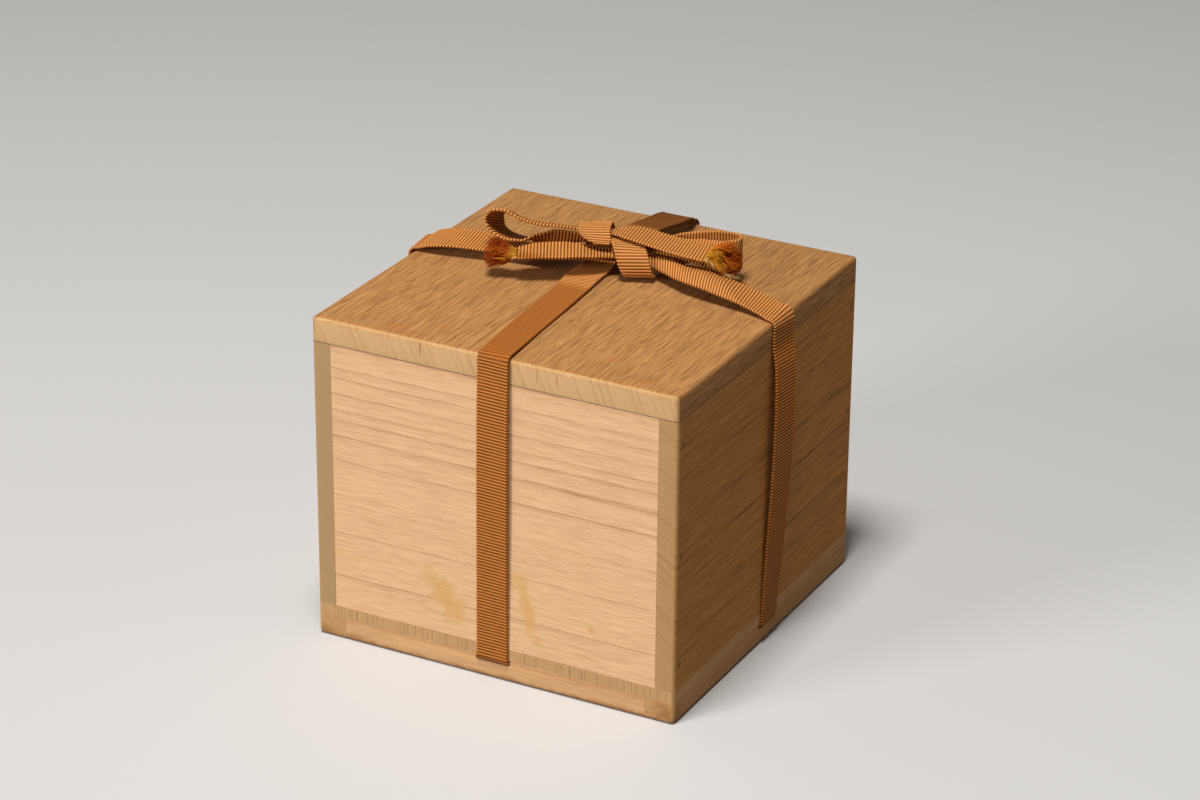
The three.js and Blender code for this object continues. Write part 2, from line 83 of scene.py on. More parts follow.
class Grain(Enum):
    """Which row axis a board's grain runs along."""

    ACROSS = "x"
    BACK = "y"


class Body(Enum):
    """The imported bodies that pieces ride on."""

    BOX = "box"
    LID = "lid"


# Node helpers


class NodeTree:
    """A short way of placing and joining the nodes of one tree."""

    def __init__(self, tree: Group) -> None:
        """Wraps a node tree.

        Args:
            tree: the material's or group's own tree.
        """
        self.tree = tree

    def node(self, kind: str, **settings: object) -> Node:
        """Places one node.

        Args:
            kind: the node's type, without its "ShaderNode" start.
            settings: properties to set on the node.

        Returns:
            The new node.
        """
        made = self.tree.nodes.new("ShaderNode" + kind)
        for name, value in settings.items():
            setattr(made, name, value)
        return made

    def join(self, source: object, target: Socket) -> None:
        """Feeds a socket from another socket, or sets it to a plain value.

        Args:
            source: an output socket, a number, or a colour or vector.
            target: the input socket.
        """
        if isinstance(source, Socket):
            self.tree.links.new(source, target)
        elif isinstance(source, tuple) and target.type == "RGBA":
            target.default_value = (*source, 1.0)
        else:
            target.default_value = source

    def math(self, operation: str, a: object, b: object = 0.0) -> Socket:
        """Places a Math node.

        Args:
            operation: the node's operation.
            a: the first value or socket.
            b: the second value or socket.

        Returns:
            The result's socket.
        """
        made = self.node("Math", operation=operation)
        for value, socket in zip((a, b), made.inputs):
            self.join(value, socket)
        return made.outputs[0]

    def vector(self, operation: str, a: object, b: object = (0.0, 0.0, 0.0)) -> Socket:
        """Places a Vector Math node and returns its vector output."""
        made = self.node("VectorMath", operation=operation)
        self.join(a, made.inputs[0])
        self.join(b, made.inputs[1])
        return made.outputs["Vector"]

    def length(self, a: Socket) -> Socket:
        """Returns the length of a vector socket."""
        made = self.node("VectorMath", operation="LENGTH")
        self.join(a, made.inputs[0])
        return made.outputs["Value"]

    def combine(self, x: object, y: object, z: object) -> Socket:
        """Makes a vector of three values or sockets."""
        made = self.node("CombineXYZ")
        for value, socket in zip((x, y, z), made.inputs):
            self.join(value, socket)
        return made.outputs[0]

    def times(self, a: object, b: object) -> Socket:
        """Multiplies two values or sockets."""
        return self.math("MULTIPLY", a, b)

    def plus(self, a: object, b: object) -> Socket:
        """Adds two values or sockets."""
        return self.math("ADD", a, b)

    def minus(self, a: object, b: object) -> Socket:
        """Subtracts the second value or socket from the first."""
        return self.math("SUBTRACT", a, b)

    def swing(self, noise: Socket, reach: float) -> Socket:
        """Turns noise round 0.5 into a swing to both sides of 0."""
        return self.times(self.minus(noise, 0.5), reach)

    def at_least(self, value: Socket, least: float) -> Socket:
        """Squeezes a run from 0 to 1 into one from least to 1."""
        return self.plus(least, self.times(value, 1 - least))

    def scaled(self, vector: object, scale: object) -> Socket:
        """Multiplies two vectors axis by axis."""
        return self.vector("MULTIPLY", vector, scale)

    def split(self, vector: Socket) -> tuple[Socket, ...]:
        """Returns the x, y and z sockets of a vector."""
        made = self.node("SeparateXYZ")
        self.join(vector, made.inputs[0])
        return tuple(made.outputs)

    def noise(self, vector: Socket, detail: float = 2.0, roughness: float = 0.5) -> Node:
        """Places a noise texture of scale 1 on a vector that is already scaled."""
        made = self.node("TexNoise")
        self.join(vector, made.inputs["Vector"])
        self.join(1.0, made.inputs["Scale"])
        self.join(detail, made.inputs["Detail"])
        self.join(roughness, made.inputs["Roughness"])
        return made

    def grit(self, place: Socket, scale: Point, detail: float = 2.0, roughness: float = 0.5) -> Socket:
        """Value of a noise texture on a place that is scaled axis by axis."""
        return self.noise(self.scaled(place, scale), detail, roughness).outputs["Fac"]

    def ramp(self, factor: Socket, stops: Stops) -> Socket:
        """Places a grey Color Ramp.

        Args:
            factor: what drives the ramp.
            stops: pairs of position and grey value, in order.

        Returns:
            The ramp's colour socket.
        """
        made = self.node("ValToRGB")
        elements = made.color_ramp.elements
        while len(elements) < len(stops):
            elements.new(0.5)
        for element, (position, grey) in zip(elements, stops):
            element.position = position
            element.color = (grey, grey, grey, 1.0)
        self.join(factor, made.inputs[0])
        return made.outputs[0]

    def smooth(self, value: object, low: float, high: float) -> Socket:
        """Runs smoothly from 0 at low to 1 at high."""
        made = self.node("MapRange", interpolation_type="SMOOTHSTEP")
        self.join(value, made.inputs["Value"])
        made.inputs["From Min"].default_value = low
        made.inputs["From Max"].default_value = high
        return made.outputs[0]

    def mix(self, factor: object, a: object, b: object, blend: str = "MIX") -> Socket:
        """Mixes two colours.

        Args:
            factor: share of the second colour.
            a: the first colour or socket.
            b: the second colour or socket.
            blend: the blend type.

        Returns:
            The mixed colour's socket.
        """
        made = self.node("Mix", data_type="RGBA", blend_type=blend)
        self.join(factor, made.inputs[0])
        self.join(a, made.inputs[6])
        self.join(b, made.inputs[7])
        return made.outputs[2]


def new_group(
    name: str, inputs: Iterable[tuple[str, str, object]], outputs: Iterable[str]
) -> tuple[NodeTree, Node, Node]:
    """Starts a shader node group.

    Args:
        name: the group's name.
        inputs: name, kind (Float, Vector or Color) and default of each input.
        outputs: names of the outputs, which are all plain values.

    Returns:
        The group's tree, its input node and its output node.
    """
    tree = bpy.data.node_groups.new(name, "ShaderNodeTree")
    for label, kind, default in inputs:
        socket = tree.interface.new_socket(label, in_out="INPUT", socket_type="NodeSocket" + kind)
        if default is not None:
            socket.default_value = default
    for label in outputs:
        tree.interface.new_socket(label, in_out="OUTPUT", socket_type="NodeSocketFloat")
    start = tree.nodes.new("NodeGroupInput")
    end = tree.nodes.new("NodeGroupOutput")
    return NodeTree(tree), start, end


def close_group(web: NodeTree, end: Node, *values: Socket) -> Group:
    """Joins a group's results to its outputs, in their order, and returns its tree."""
    for index, value in enumerate(values):
        web.join(value, end.inputs[index])
    return web.tree


# Shared effects


@dataclass(frozen=True)
class GrainEffect:
    """Growth rings, fibres and pores of a light, ring-porous wood.

    Input "Board" is a place in metres whose x runs along the grain and whose y
    and z are measured from the middle of the tree. Scales are per metre, along
    the grain first; the depths are shares of the bump's height.
    """

    name: str = "wood_grain"
    slow_wave: Point = (5.0, 17.0, 17.0)
    quick_wave: Point = (24.0, 105.0, 105.0)
    quick_share: Point = (0.13, 0.13, 0.13)
    uneven_scale: float = 0.43
    uneven_rings: float = 3.4
    ragged_rings: float = 0.22
    fade_scale: Point = (13.0, 60.0, 60.0)
    fade_range: Range = (0.28, 0.62)
    faded_line: float = 0.2
    band_stops: Stops = ((0.0, 0.0), (0.4, 0.08), (0.8, 0.5), (0.95, 1.0), (1.0, 0.0))
    faint_band: float = 0.25
    line_stops: Stops = ((0.0, 0.3), (0.04, 0.0), (0.87, 0.0), (0.94, 0.7), (0.97, 1.0), (1.0, 0.3))
    line_chance: Range = (0.1, 0.8)
    line_between_fibres: float = 0.45
    fibre_scale: Point = (75.0, 1900.0, 1900.0)
    strand_scale: Point = (36.0, 640.0, 640.0)
    fibre_roughness: float = 0.6
    fine_share: float = 0.8
    fibre_range: Range = (0.36, 0.64)
    pore_scale: Point = (120.0, 1350.0, 1350.0)
    pore_range: Range = (0.58, 0.7)
    fibre_depth: float = 0.7
    pore_depth: float = 0.5
    line_depth: float = 0.3

    def ring_count(self, web: NodeTree, start: Node, strands: Socket) -> Socket:
        """Counts rings out from the middle of the tree, with waves and ragged strands.

        Args:
            web: the group's tree.
            start: the group's input node.
            strands: coarse fibre noise that makes the rings ragged.

        Returns:
            The number of rings, as a running value.
        """
        board = start.outputs["Board"]
        half = (0.5, 0.5, 0.5)
        slow = web.noise(web.scaled(board, self.slow_wave), 1.0).outputs["Color"]
        quick = web.noise(web.scaled(board, self.quick_wave), 2.0).outputs["Color"]
        quick = web.scaled(web.vector("SUBTRACT", quick, half), self.quick_share)
        sway = web.vector("ADD", web.vector("SUBTRACT", slow, half), quick)
        wave = web.times(start.outputs["Wave"], 2.0)
        sway = web.scaled(sway, web.combine(wave, wave, wave))
        _, across, up = web.split(web.vector("ADD", board, sway))
        radius = web.length(web.combine(0.0, across, up))
        count = web.math("DIVIDE", radius, start.outputs["Ring Spacing"])
        uneven = web.noise(web.combine(web.times(count, self.uneven_scale), 0.0, 0.0), 2.0)
        count = web.plus(count, web.times(uneven.outputs["Fac"], self.uneven_rings))
        return web.plus(count, web.swing(strands, self.ragged_rings))

    def build(self) -> Group:
        """Builds the group with outputs Bands, Lines, Fibres, Pores and Height."""
        web, start, end = new_group(
            self.name,
            [("Board", "Vector", None), ("Ring Spacing", "Float", 0.004), ("Wave", "Float", 0.0015)],
            ("Bands", "Lines", "Fibres", "Pores", "Height"),
        )
        board = start.outputs["Board"]
        strands = web.grit(board, self.strand_scale, 2.0, self.fibre_roughness)
        count = self.ring_count(web, start, strands)
        share = web.math("FRACT", count)
        dice = web.node("TexWhiteNoise", noise_dimensions="1D")
        web.join(web.math("FLOOR", count), dice.inputs["W"])
        chance = dice.outputs["Value"]
        bands = web.times(web.ramp(share, self.band_stops), web.at_least(chance, self.faint_band))
        fine = web.grit(board, self.fibre_scale, 2.0, self.fibre_roughness)
        fibres = web.plus(web.times(fine, self.fine_share), web.times(strands, 1 - self.fine_share))
        fibres = web.smooth(fibres, *self.fibre_range)
        fade = web.smooth(web.grit(board, self.fade_scale, 1.0), *self.fade_range)
        lines = web.times(web.ramp(share, self.line_stops), web.smooth(chance, *self.line_chance))
        lines = web.times(lines, web.at_least(fade, self.faded_line))
        lines = web.times(lines, web.at_least(fibres, self.line_between_fibres))
        pores = web.smooth(web.grit(board, self.pore_scale, 1.0), *self.pore_range)
        height = web.minus(web.times(fibres, -self.fibre_depth), web.times(pores, self.pore_depth))
        height = web.minus(height, web.times(lines, self.line_depth))
        return close_group(web, end, bands, lines, fibres, pores, height)


@dataclass(frozen=True)
class EdgeEffect:
    """Rubbed outer edges and corners of the box, and the dark joint under its lid, which is dirt and painted
    shade in the gap.
    """

    name: str = "edge_wear"
    half: float = 70 * MM
    top: float = 121 * MM
    reach: float = 2.4 * MM
    ragged_scale: Point = (260.0, 260.0, 260.0)
    raggedness: float = 4.5 * MM
    joint: float = 112 * MM
    joint_width: float = 0.3 * MM
    joint_core: float = 0.4

    def near(self, web: NodeTree, distance: Socket, slack: Socket) -> Socket:
        """Runs from 1 at a face of the box to 0 inside it, raggedly."""
        return web.smooth(web.plus(distance, slack), self.reach, 0.0)

    def build(self) -> Group:
        """Builds the group with outputs Edge, Corner and Joint."""
        web, start, end = new_group(self.name, [("Place", "Vector", None)], ("Edge", "Corner", "Joint"))
        place = start.outputs["Place"]
        slack = web.swing(web.grit(place, self.ragged_scale, 3.0, 0.6), self.raggedness)
        x, y, z = web.split(place)
        side = self.near(web, web.minus(self.half, web.math("ABSOLUTE", x)), slack)
        face = self.near(web, web.minus(self.half, web.math("ABSOLUTE", y)), slack)
        high = self.near(web, web.minus(self.top, z), slack)
        level = web.math("MAXIMUM", high, self.near(web, z, slack))
        pairs = [web.times(a, b) for a, b in ((side, face), (face, level), (level, side))]
        edge = web.math("MAXIMUM", web.math("MAXIMUM", pairs[0], pairs[1]), pairs[2])
        # Joint: a thin dark line round the lid's joint, partly dirt and partly painted shade in the gap.
        away = web.math("ABSOLUTE", web.minus(z, self.joint))
        joint = web.smooth(away, self.joint_width, self.joint_width * self.joint_core)
        return close_group(web, end, edge, web.times(pairs[0], level), joint)


@dataclass(frozen=True)
class StainEffect:
    """One soft, ragged stain round a place."""

    name: str = "stain"
    ragged_scale: Point = (230.0, 230.0, 330.0)
    raggedness: float = 1.4
    fade: Range = (1.05, 0.25)

    def build(self) -> Group:
        """Builds the group with output Mask."""
        inputs = [(name, "Vector", None) for name in ("Place", "Centre")]
        inputs.append(("Reach", "Vector", (0.01, 0.01, 0.01)))
        web, start, end = new_group(self.name, inputs, ("Mask",))
        place = start.outputs["Place"]
        ragged = web.grit(place, self.ragged_scale, 4.0, 0.65)
        away = web.vector("SUBTRACT", place, start.outputs["Centre"])
        away = web.length(web.vector("DIVIDE", away, start.outputs["Reach"]))
        away = web.plus(away, web.swing(ragged, self.raggedness))
        return close_group(web, end, web.smooth(away, *self.fade))


@dataclass(frozen=True)
class WeaveEffect:
    """Ribs across the ribbon, the threads along it, and its beaded edges.

    The piece's UV map counts ribs along the ribbon in u and goes from 0 to 1
    across it in v. The edge's range is measured from the ribbon's middle.
    """

    name: str = "ribbon_weave"
    threads: float = 26.0
    wobble_scale: Range = (2.1, 7.0)
    wobble: float = 0.016
    edge: Range = (0.41, 0.445)
    patch_scale: Range = (0.22, 2.2)
    patch_depth: float = 5.0
    thread_depth: float = 0.22

    def build(self) -> Group:
        """Builds the group with outputs Crest, Thread, Edge, Patch and Height."""
        web, start, end = new_group(
            self.name, [("UV", "Vector", None)], ("Crest", "Thread", "Edge", "Patch", "Height")
        )
        u, v, _ = web.split(start.outputs["UV"])
        crest = web.math("COSINE", web.times(u, 2 * math.pi))
        crest = web.minus(0.5, web.times(crest, 0.5))
        places = [
            web.combine(web.times(u, scale[0]), web.times(v, scale[1]), depth)
            for scale, depth in ((self.wobble_scale, 0.0), (self.patch_scale, self.patch_depth))
        ]
        wobble = web.noise(places[0], 2.0).outputs["Fac"]
        patch = web.noise(places[1], 3.0).outputs["Fac"]
        shifted = web.plus(v, web.times(wobble, self.wobble))
        thread = web.math("SINE", web.times(shifted, 2 * math.pi * self.threads))
        thread = web.plus(0.5, web.times(thread, 0.5))
        edge = web.smooth(web.math("ABSOLUTE", web.minus(v, 0.5)), *self.edge)
        height = web.plus(crest, web.times(thread, self.thread_depth))
        return close_group(web, end, crest, thread, edge, patch, height)


@dataclass
class SharedEffects:
    """The node groups that materials share, each built once."""

    grain: Group = field(default_factory=lambda: GrainEffect().build())
    edge: Group = field(default_factory=lambda: EdgeEffect().build())
    stain: Group = field(default_factory=lambda: StainEffect().build())
    weave: Group = field(default_factory=lambda: WeaveEffect().build())


def place_group(web: NodeTree, group: Group, **inputs: object) -> Node:
    """Places a shared group in a material.

    Args:
        web: the material's tree.
        group: the shared group.
        inputs: its inputs, with underscores for spaces.

    Returns:
        The group's node.
    """
    made = web.node("Group", node_tree=group)
    for name, value in inputs.items():
        web.join(value, made.inputs[name.replace("_", " ")])
    return made


def start_material(name: str) -> tuple[Material, NodeTree, Node]:
    """Makes a material and returns it with its tree and its Principled BSDF."""
    material = bpy.data.materials.new(name)
    material.use_nodes = True
    web = NodeTree(material.node_tree)
    return material, web, material.node_tree.nodes["Principled BSDF"]


def set_surface(
    web: NodeTree, shader: Node, colour: Socket, roughness: object, specular: float
) -> None:
    """Feeds a shader its colour, its roughness and how strongly it mirrors."""
    web.join(colour, shader.inputs["Base Color"])
    web.join(roughness, shader.inputs["Roughness"])
    web.join(specular, shader.inputs["Specular IOR Level"])


def add_bump(
    web: NodeTree, shader: Node, height: Socket, strength: float, distance: float
) -> None:
    """Raises a shader's surface by a height socket."""
    bump = web.node("Bump")
    web.join(strength, bump.inputs["Strength"])
    web.join(distance, bump.inputs["Distance"])
    web.join(height, bump.inputs["Height"])
    web.join(bump.outputs["Normal"], shader.inputs["Normal"])


# Finishes


@dataclass(frozen=True)
class Stain:
    """A stain on a board: its middle and reach in millimetres, and strength."""

    middle: Point
    reach: Point
    strength: float


def on_front(x: float, z: float, wide: float, high: float, strength: float, deep: float = 9.0) -> Stain:
    """A stain on the box's front face."""
    return Stain((x, -70.0, z), (wide, deep, high), strength)


def on_top(x: float, y: float, wide: float, deep: float, strength: float) -> Stain:
    """A stain on the lid's top face."""
    return Stain((x, y, 121.0), (wide, deep, 6.0), strength)


@dataclass(frozen=True)
class WoodFinish:
    """Bare wood of one board.

    The pith is where the middle of the tree lay, in millimetres: its place
    across the grain and its height.
    """

    name: str
    grain: Grain
    pith: tuple[float, float]
    spacing: float = 4.0
    wave: float = 1.5
    pale: Colour = (0.87, 0.555, 0.31)
    line: Colour = (0.46, 0.225, 0.09)
    band_strength: float = 0.4
    line_strength: float = 0.8
    fibre_strength: float = 0.3
    pore_strength: float = 0.16
    end_tint: Colour = (0.76, 0.77, 0.70)
    end_line: Colour = (0.40, 0.235, 0.10)
    end_band_strength: float = 0.4
    stain: Colour = (0.60, 0.27, 0.07)
    # dirt_and_shade: dirt on the box's corners, and dirt with painted shade in the lid's joint.
    dirt_and_shade: Colour = (0.16, 0.075, 0.03)
    edge_colour: Colour = (0.62, 0.32, 0.12)
    edge_strength: float = 0.35
    corner_strength: float = 0.5
    joint_strength: float = 0.7
    end_fibre_strength: float = 0.16
    end_facing: Range = (0.35, 0.75)
    patch_scale: Point = (9.0, 24.0, 24.0)
    least_shade: float = 0.95
    shade_swing: float = 0.1
    rough: float = 0.66
    fibre_rough: float = 0.14
    specular: float = 0.22
    bump_strength: float = 0.4
    bump_height: float = 0.1 * MM
    stains: tuple[Stain, ...] = ()

    def bare_wood(self, web: NodeTree, grain: Node, end_grain: Socket) -> Socket:
        """Colours rings, fibres and pores, along the grain and on its ends.

        Args:
            web: the material's tree.
            grain: the placed grain group.
            end_grain: 1 where the surface cuts across the grain.

        Returns:
            The colour's socket.
        """
        flat = (self.band_strength, self.line_strength, self.fibre_strength, self.pore_strength)
        cut = (self.end_band_strength, self.end_band_strength, self.end_fibre_strength)
        names = ("Bands", "Lines", "Fibres", "Pores")
        colour = self.pale
        for name, strength in zip(names, flat):
            colour = web.mix(web.times(grain.outputs[name], strength), colour, self.line)
        ends = web.mix(1.0, self.pale, self.end_tint, "MULTIPLY")
        for name, strength in zip(names, cut):
            ends = web.mix(web.times(grain.outputs[name], strength), ends, self.end_line)
        return web.mix(end_grain, colour, ends)

    def build(self, effects: SharedEffects) -> Material:
        """Builds the material.

        Args:
            effects: the shared node groups.

        Returns:
            The finished material.
        """
        material, web, shader = start_material(self.name)
        coordinates = web.node("TexCoord")
        place = coordinates.outputs["Object"]
        x, y, z = web.split(place)
        along, across = (x, y) if self.grain is Grain.ACROSS else (y, x)
        across = web.minus(across, self.pith[0] * MM)
        board = web.combine(along, across, web.minus(z, self.pith[1] * MM))
        grain = place_group(
            web, effects.grain, Board=board, Ring_Spacing=self.spacing * MM, Wave=self.wave * MM
        )
        normal = web.split(coordinates.outputs["Normal"])
        facing = normal[0] if self.grain is Grain.ACROSS else normal[1]
        end_grain = web.smooth(web.math("ABSOLUTE", facing), *self.end_facing)
        colour = self.bare_wood(web, grain, end_grain)

        shade = web.times(web.grit(board, self.patch_scale), self.shade_swing)
        shade = web.plus(self.least_shade, shade)
        colour = web.mix(1.0, colour, web.combine(shade, shade, shade), "MULTIPLY")
        for spot in self.stains:
            centre, reach = (tuple(v * MM for v in values) for values in (spot.middle, spot.reach))
            mask = place_group(web, effects.stain, Place=place, Centre=centre, Reach=reach)
            colour = web.mix(web.times(mask.outputs["Mask"], spot.strength), colour, self.stain)
        wear = place_group(web, effects.edge, Place=place)
        for name, strength, tone in (
            ("Edge", self.edge_strength, self.edge_colour),
            ("Corner", self.corner_strength, self.dirt_and_shade),
            # The joint's darkening is dirt and painted shade in the gap under the lid.
            ("Joint", self.joint_strength, self.dirt_and_shade),
        ):
            colour = web.mix(web.times(wear.outputs[name], strength), colour, tone)

        rough = web.plus(self.rough, web.times(grain.outputs["Fibres"], self.fibre_rough))
        set_surface(web, shader, colour, rough, self.specular)
        add_bump(web, shader, grain.outputs["Height"], self.bump_strength, self.bump_height)
        return material


@dataclass(frozen=True)
class RibbonFinish:
    """Ribbed ribbon: crests in the cloth's colour with painted shade in the dark valleys, painted highlights
    on the beaded edges, a painted lighter tan on top of the lid from just in front of the knot back, painted
    shade on the ribbon on the lid in front of that, and painted shade on the lap at the back.
    """

    name: str = "ribbon_cloth"
    crest: Colour = (0.60, 0.225, 0.040)
    # valley_shade is painted shade: the rib valleys are coloured far darker than the cloth.
    valley_shade: Colour = (0.16, 0.038, 0.004)
    warm: Colour = (0.50, 0.15, 0.02)
    # painted_top_light is painted light: a lighter tan for crests lit from above on top of the lid.
    painted_top_light: Colour = (0.62, 0.282, 0.084)
    # back_lap_shade is painted shade: the lap at the back, behind the knot, is coloured a smooth dark brown.
    back_lap_shade: Colour = (0.10, 0.025, 0.002)
    back_lap: Range = (22 * MM, 38 * MM)
    back_lap_side: Range = (20 * MM, 13 * MM)
    bow: Range = (-10 * MM, -3 * MM)
    on_lid: Range = (119 * MM, 121 * MM)
    crest_stops: Stops = ((0.0, 0.0), (0.3, 0.1), (0.7, 0.85), (1.0, 1.0))
    strand_strength: float = 0.3
    patch_range: Range = (0.3, 0.7)
    patch_strength: float = 0.25
    # Strength of the painted highlight on the beaded edges.
    bead_highlight_strength: float = 0.35
    bow_light_strength: float = 0.8
    # Painted shade on the ribbon on top of the lid in front of the knot.
    lap_painted_shade: float = 0.34
    back_shade_strength: float = 0.85
    roughness: float = 0.55
    specular: float = 0.12
    bump_strength: float = 0.5
    bump_height: float = 0.12 * MM

    def build(self, effects: SharedEffects) -> Material:
        """Builds the material from the shared weave."""
        material, web, shader = start_material(self.name)
        coordinates = web.node("TexCoord")
        weave = place_group(web, effects.weave, UV=coordinates.outputs["UV"])
        crest = web.ramp(weave.outputs["Crest"], self.crest_stops)
        # Painted shade: the valleys between the ribs are coloured dark, and the crests keep the cloth's
        # colour.
        colour = web.mix(crest, self.valley_shade, self.crest)
        strands = web.times(web.times(weave.outputs["Thread"], crest), self.strand_strength)
        colour = web.mix(strands, colour, self.warm)
        patch = web.times(web.smooth(weave.outputs["Patch"], *self.patch_range), self.patch_strength)
        colour = web.mix(patch, colour, self.warm)
        # Painted highlight: the beaded edges are coloured lighter, towards the crest colour.
        bead_highlight = web.times(web.times(weave.outputs["Edge"], crest), self.bead_highlight_strength)
        colour = web.mix(bead_highlight, colour, self.crest)
        x, y, z = web.split(coordinates.outputs["Object"])
        on_top = web.smooth(z, *self.on_lid)
        bow = web.times(on_top, web.smooth(y, *self.bow))
        # Painted light: crests on top of the lid, from just in front of the knot back, are coloured a lighter
        # tan.
        colour = web.mix(web.times(web.times(bow, crest), self.bow_light_strength), colour, self.painted_top_light)
        # Painted shade: the ribbon on top of the lid in front of the knot is darkened towards the valley
        # colour.
        colour = web.mix(web.times(web.minus(on_top, bow), self.lap_painted_shade), colour, self.valley_shade)
        # Painted shade on the lap at the back, behind the knot: a mask by place darkens it to a smooth dark
        # brown.
        back_shade_mask = web.times(web.smooth(y, *self.back_lap), web.smooth(x, *self.back_lap_side))
        back_shade_mask = web.times(web.times(on_top, back_shade_mask), self.back_shade_strength)
        colour = web.mix(back_shade_mask, colour, self.back_lap_shade)
        set_surface(web, shader, colour, self.roughness, self.specular)
        add_bump(web, shader, weave.outputs["Height"], self.bump_strength, self.bump_height)
        return material


@dataclass(frozen=True)
class FrayedFinish:
    """Loose threads in rust, orange, straw and a pale tip colour."""

    name: str = "frayed_threads"
    rust: Colour = (0.26, 0.036, 0.002)
    orange: Colour = (0.56, 0.145, 0.008)
    straw: Colour = (0.48, 0.23, 0.016)
    pale: Colour = (0.80, 0.60, 0.36)
    spot_scale: Range = (5.0, 60.0)
    spot_swing: float = 0.3
    orange_hue: Range = (0.15, 0.5)
    root: Range = (0.42, 0.12)
    root_strength: float = 0.8
    straw_hue: Range = (0.55, 0.78)
    pale_hue: Range = (0.88, 0.98)
    roughness: float = 0.7
    specular: float = 0.1

    def build(self) -> Material:
        """Builds the material; u runs from root to tip, v is each thread's own hue."""
        material, web, shader = start_material(self.name)
        u, v, _ = web.split(web.node("TexCoord").outputs["UV"])
        place = web.combine(web.times(u, self.spot_scale[0]), web.times(v, self.spot_scale[1]), 0.0)
        hue = web.plus(v, web.swing(web.noise(place).outputs["Fac"], self.spot_swing))
        colour = web.mix(web.smooth(hue, *self.orange_hue), self.rust, self.orange)
        root = web.times(web.smooth(u, *self.root), self.root_strength)
        colour = web.mix(root, colour, self.straw)
        colour = web.mix(web.smooth(hue, *self.straw_hue), colour, self.straw)
        colour = web.mix(web.smooth(hue, *self.pale_hue), colour, self.pale)
        set_surface(web, shader, colour, self.roughness, self.specular)
        return material


@dataclass(frozen=True)
class PegFinish:
    """Round wooden peg, end grain with fine dots and a darker rim."""

    name: str = "peg_wood"
    colour: Colour = (0.40, 0.165, 0.06)
    ring: Colour = (0.20, 0.075, 0.025)
    dot_scale: Point = (2600.0, 2600.0, 2600.0)
    dot_range: Range = (0.4, 0.65)
    dot_strength: float = 0.6
    streak_scale: Point = (300.0, 900.0, 300.0)
    streak_strength: float = 0.3
    roughness: float = 0.7
    specular: float = 0.22

    def build(self) -> Material:
        """Builds the material."""
        material, web, shader = start_material(self.name)
        place = web.node("TexCoord").outputs["Object"]
        dots = web.smooth(web.grit(place, self.dot_scale), *self.dot_range)
        streak = web.grit(place, self.streak_scale, 3.0)
        colour = web.mix(web.times(dots, self.dot_strength), self.colour, self.ring)
        colour = web.mix(web.times(streak, self.streak_strength), colour, self.ring)
        set_surface(web, shader, colour, self.roughness, self.specular)
        return material


# Boards


@dataclass(frozen=True)
class Board:
    """A packed board, and the wood it is dressed in."""

    node: str
    body: Body
    slot: str
    finish: WoodFinish


def shade_by_angle(mesh: Mesh, degrees: float) -> None:
    """Shades a mesh smooth except over edges sharper than an angle."""
    mesh.polygons.foreach_set("use_smooth", [True] * len(mesh.polygons))
    mesh.set_sharp_from_angle(angle=math.radians(degrees))


def new_piece(name: str, mesh: Mesh, material: Material) -> Object:
    """Puts a finished mesh in the scene as an object at the origin."""
    mesh.materials.clear()
    mesh.materials.append(material)
    piece = bpy.data.objects.new(name, mesh)
    bpy.context.scene.collection.objects.link(piece)
    return piece


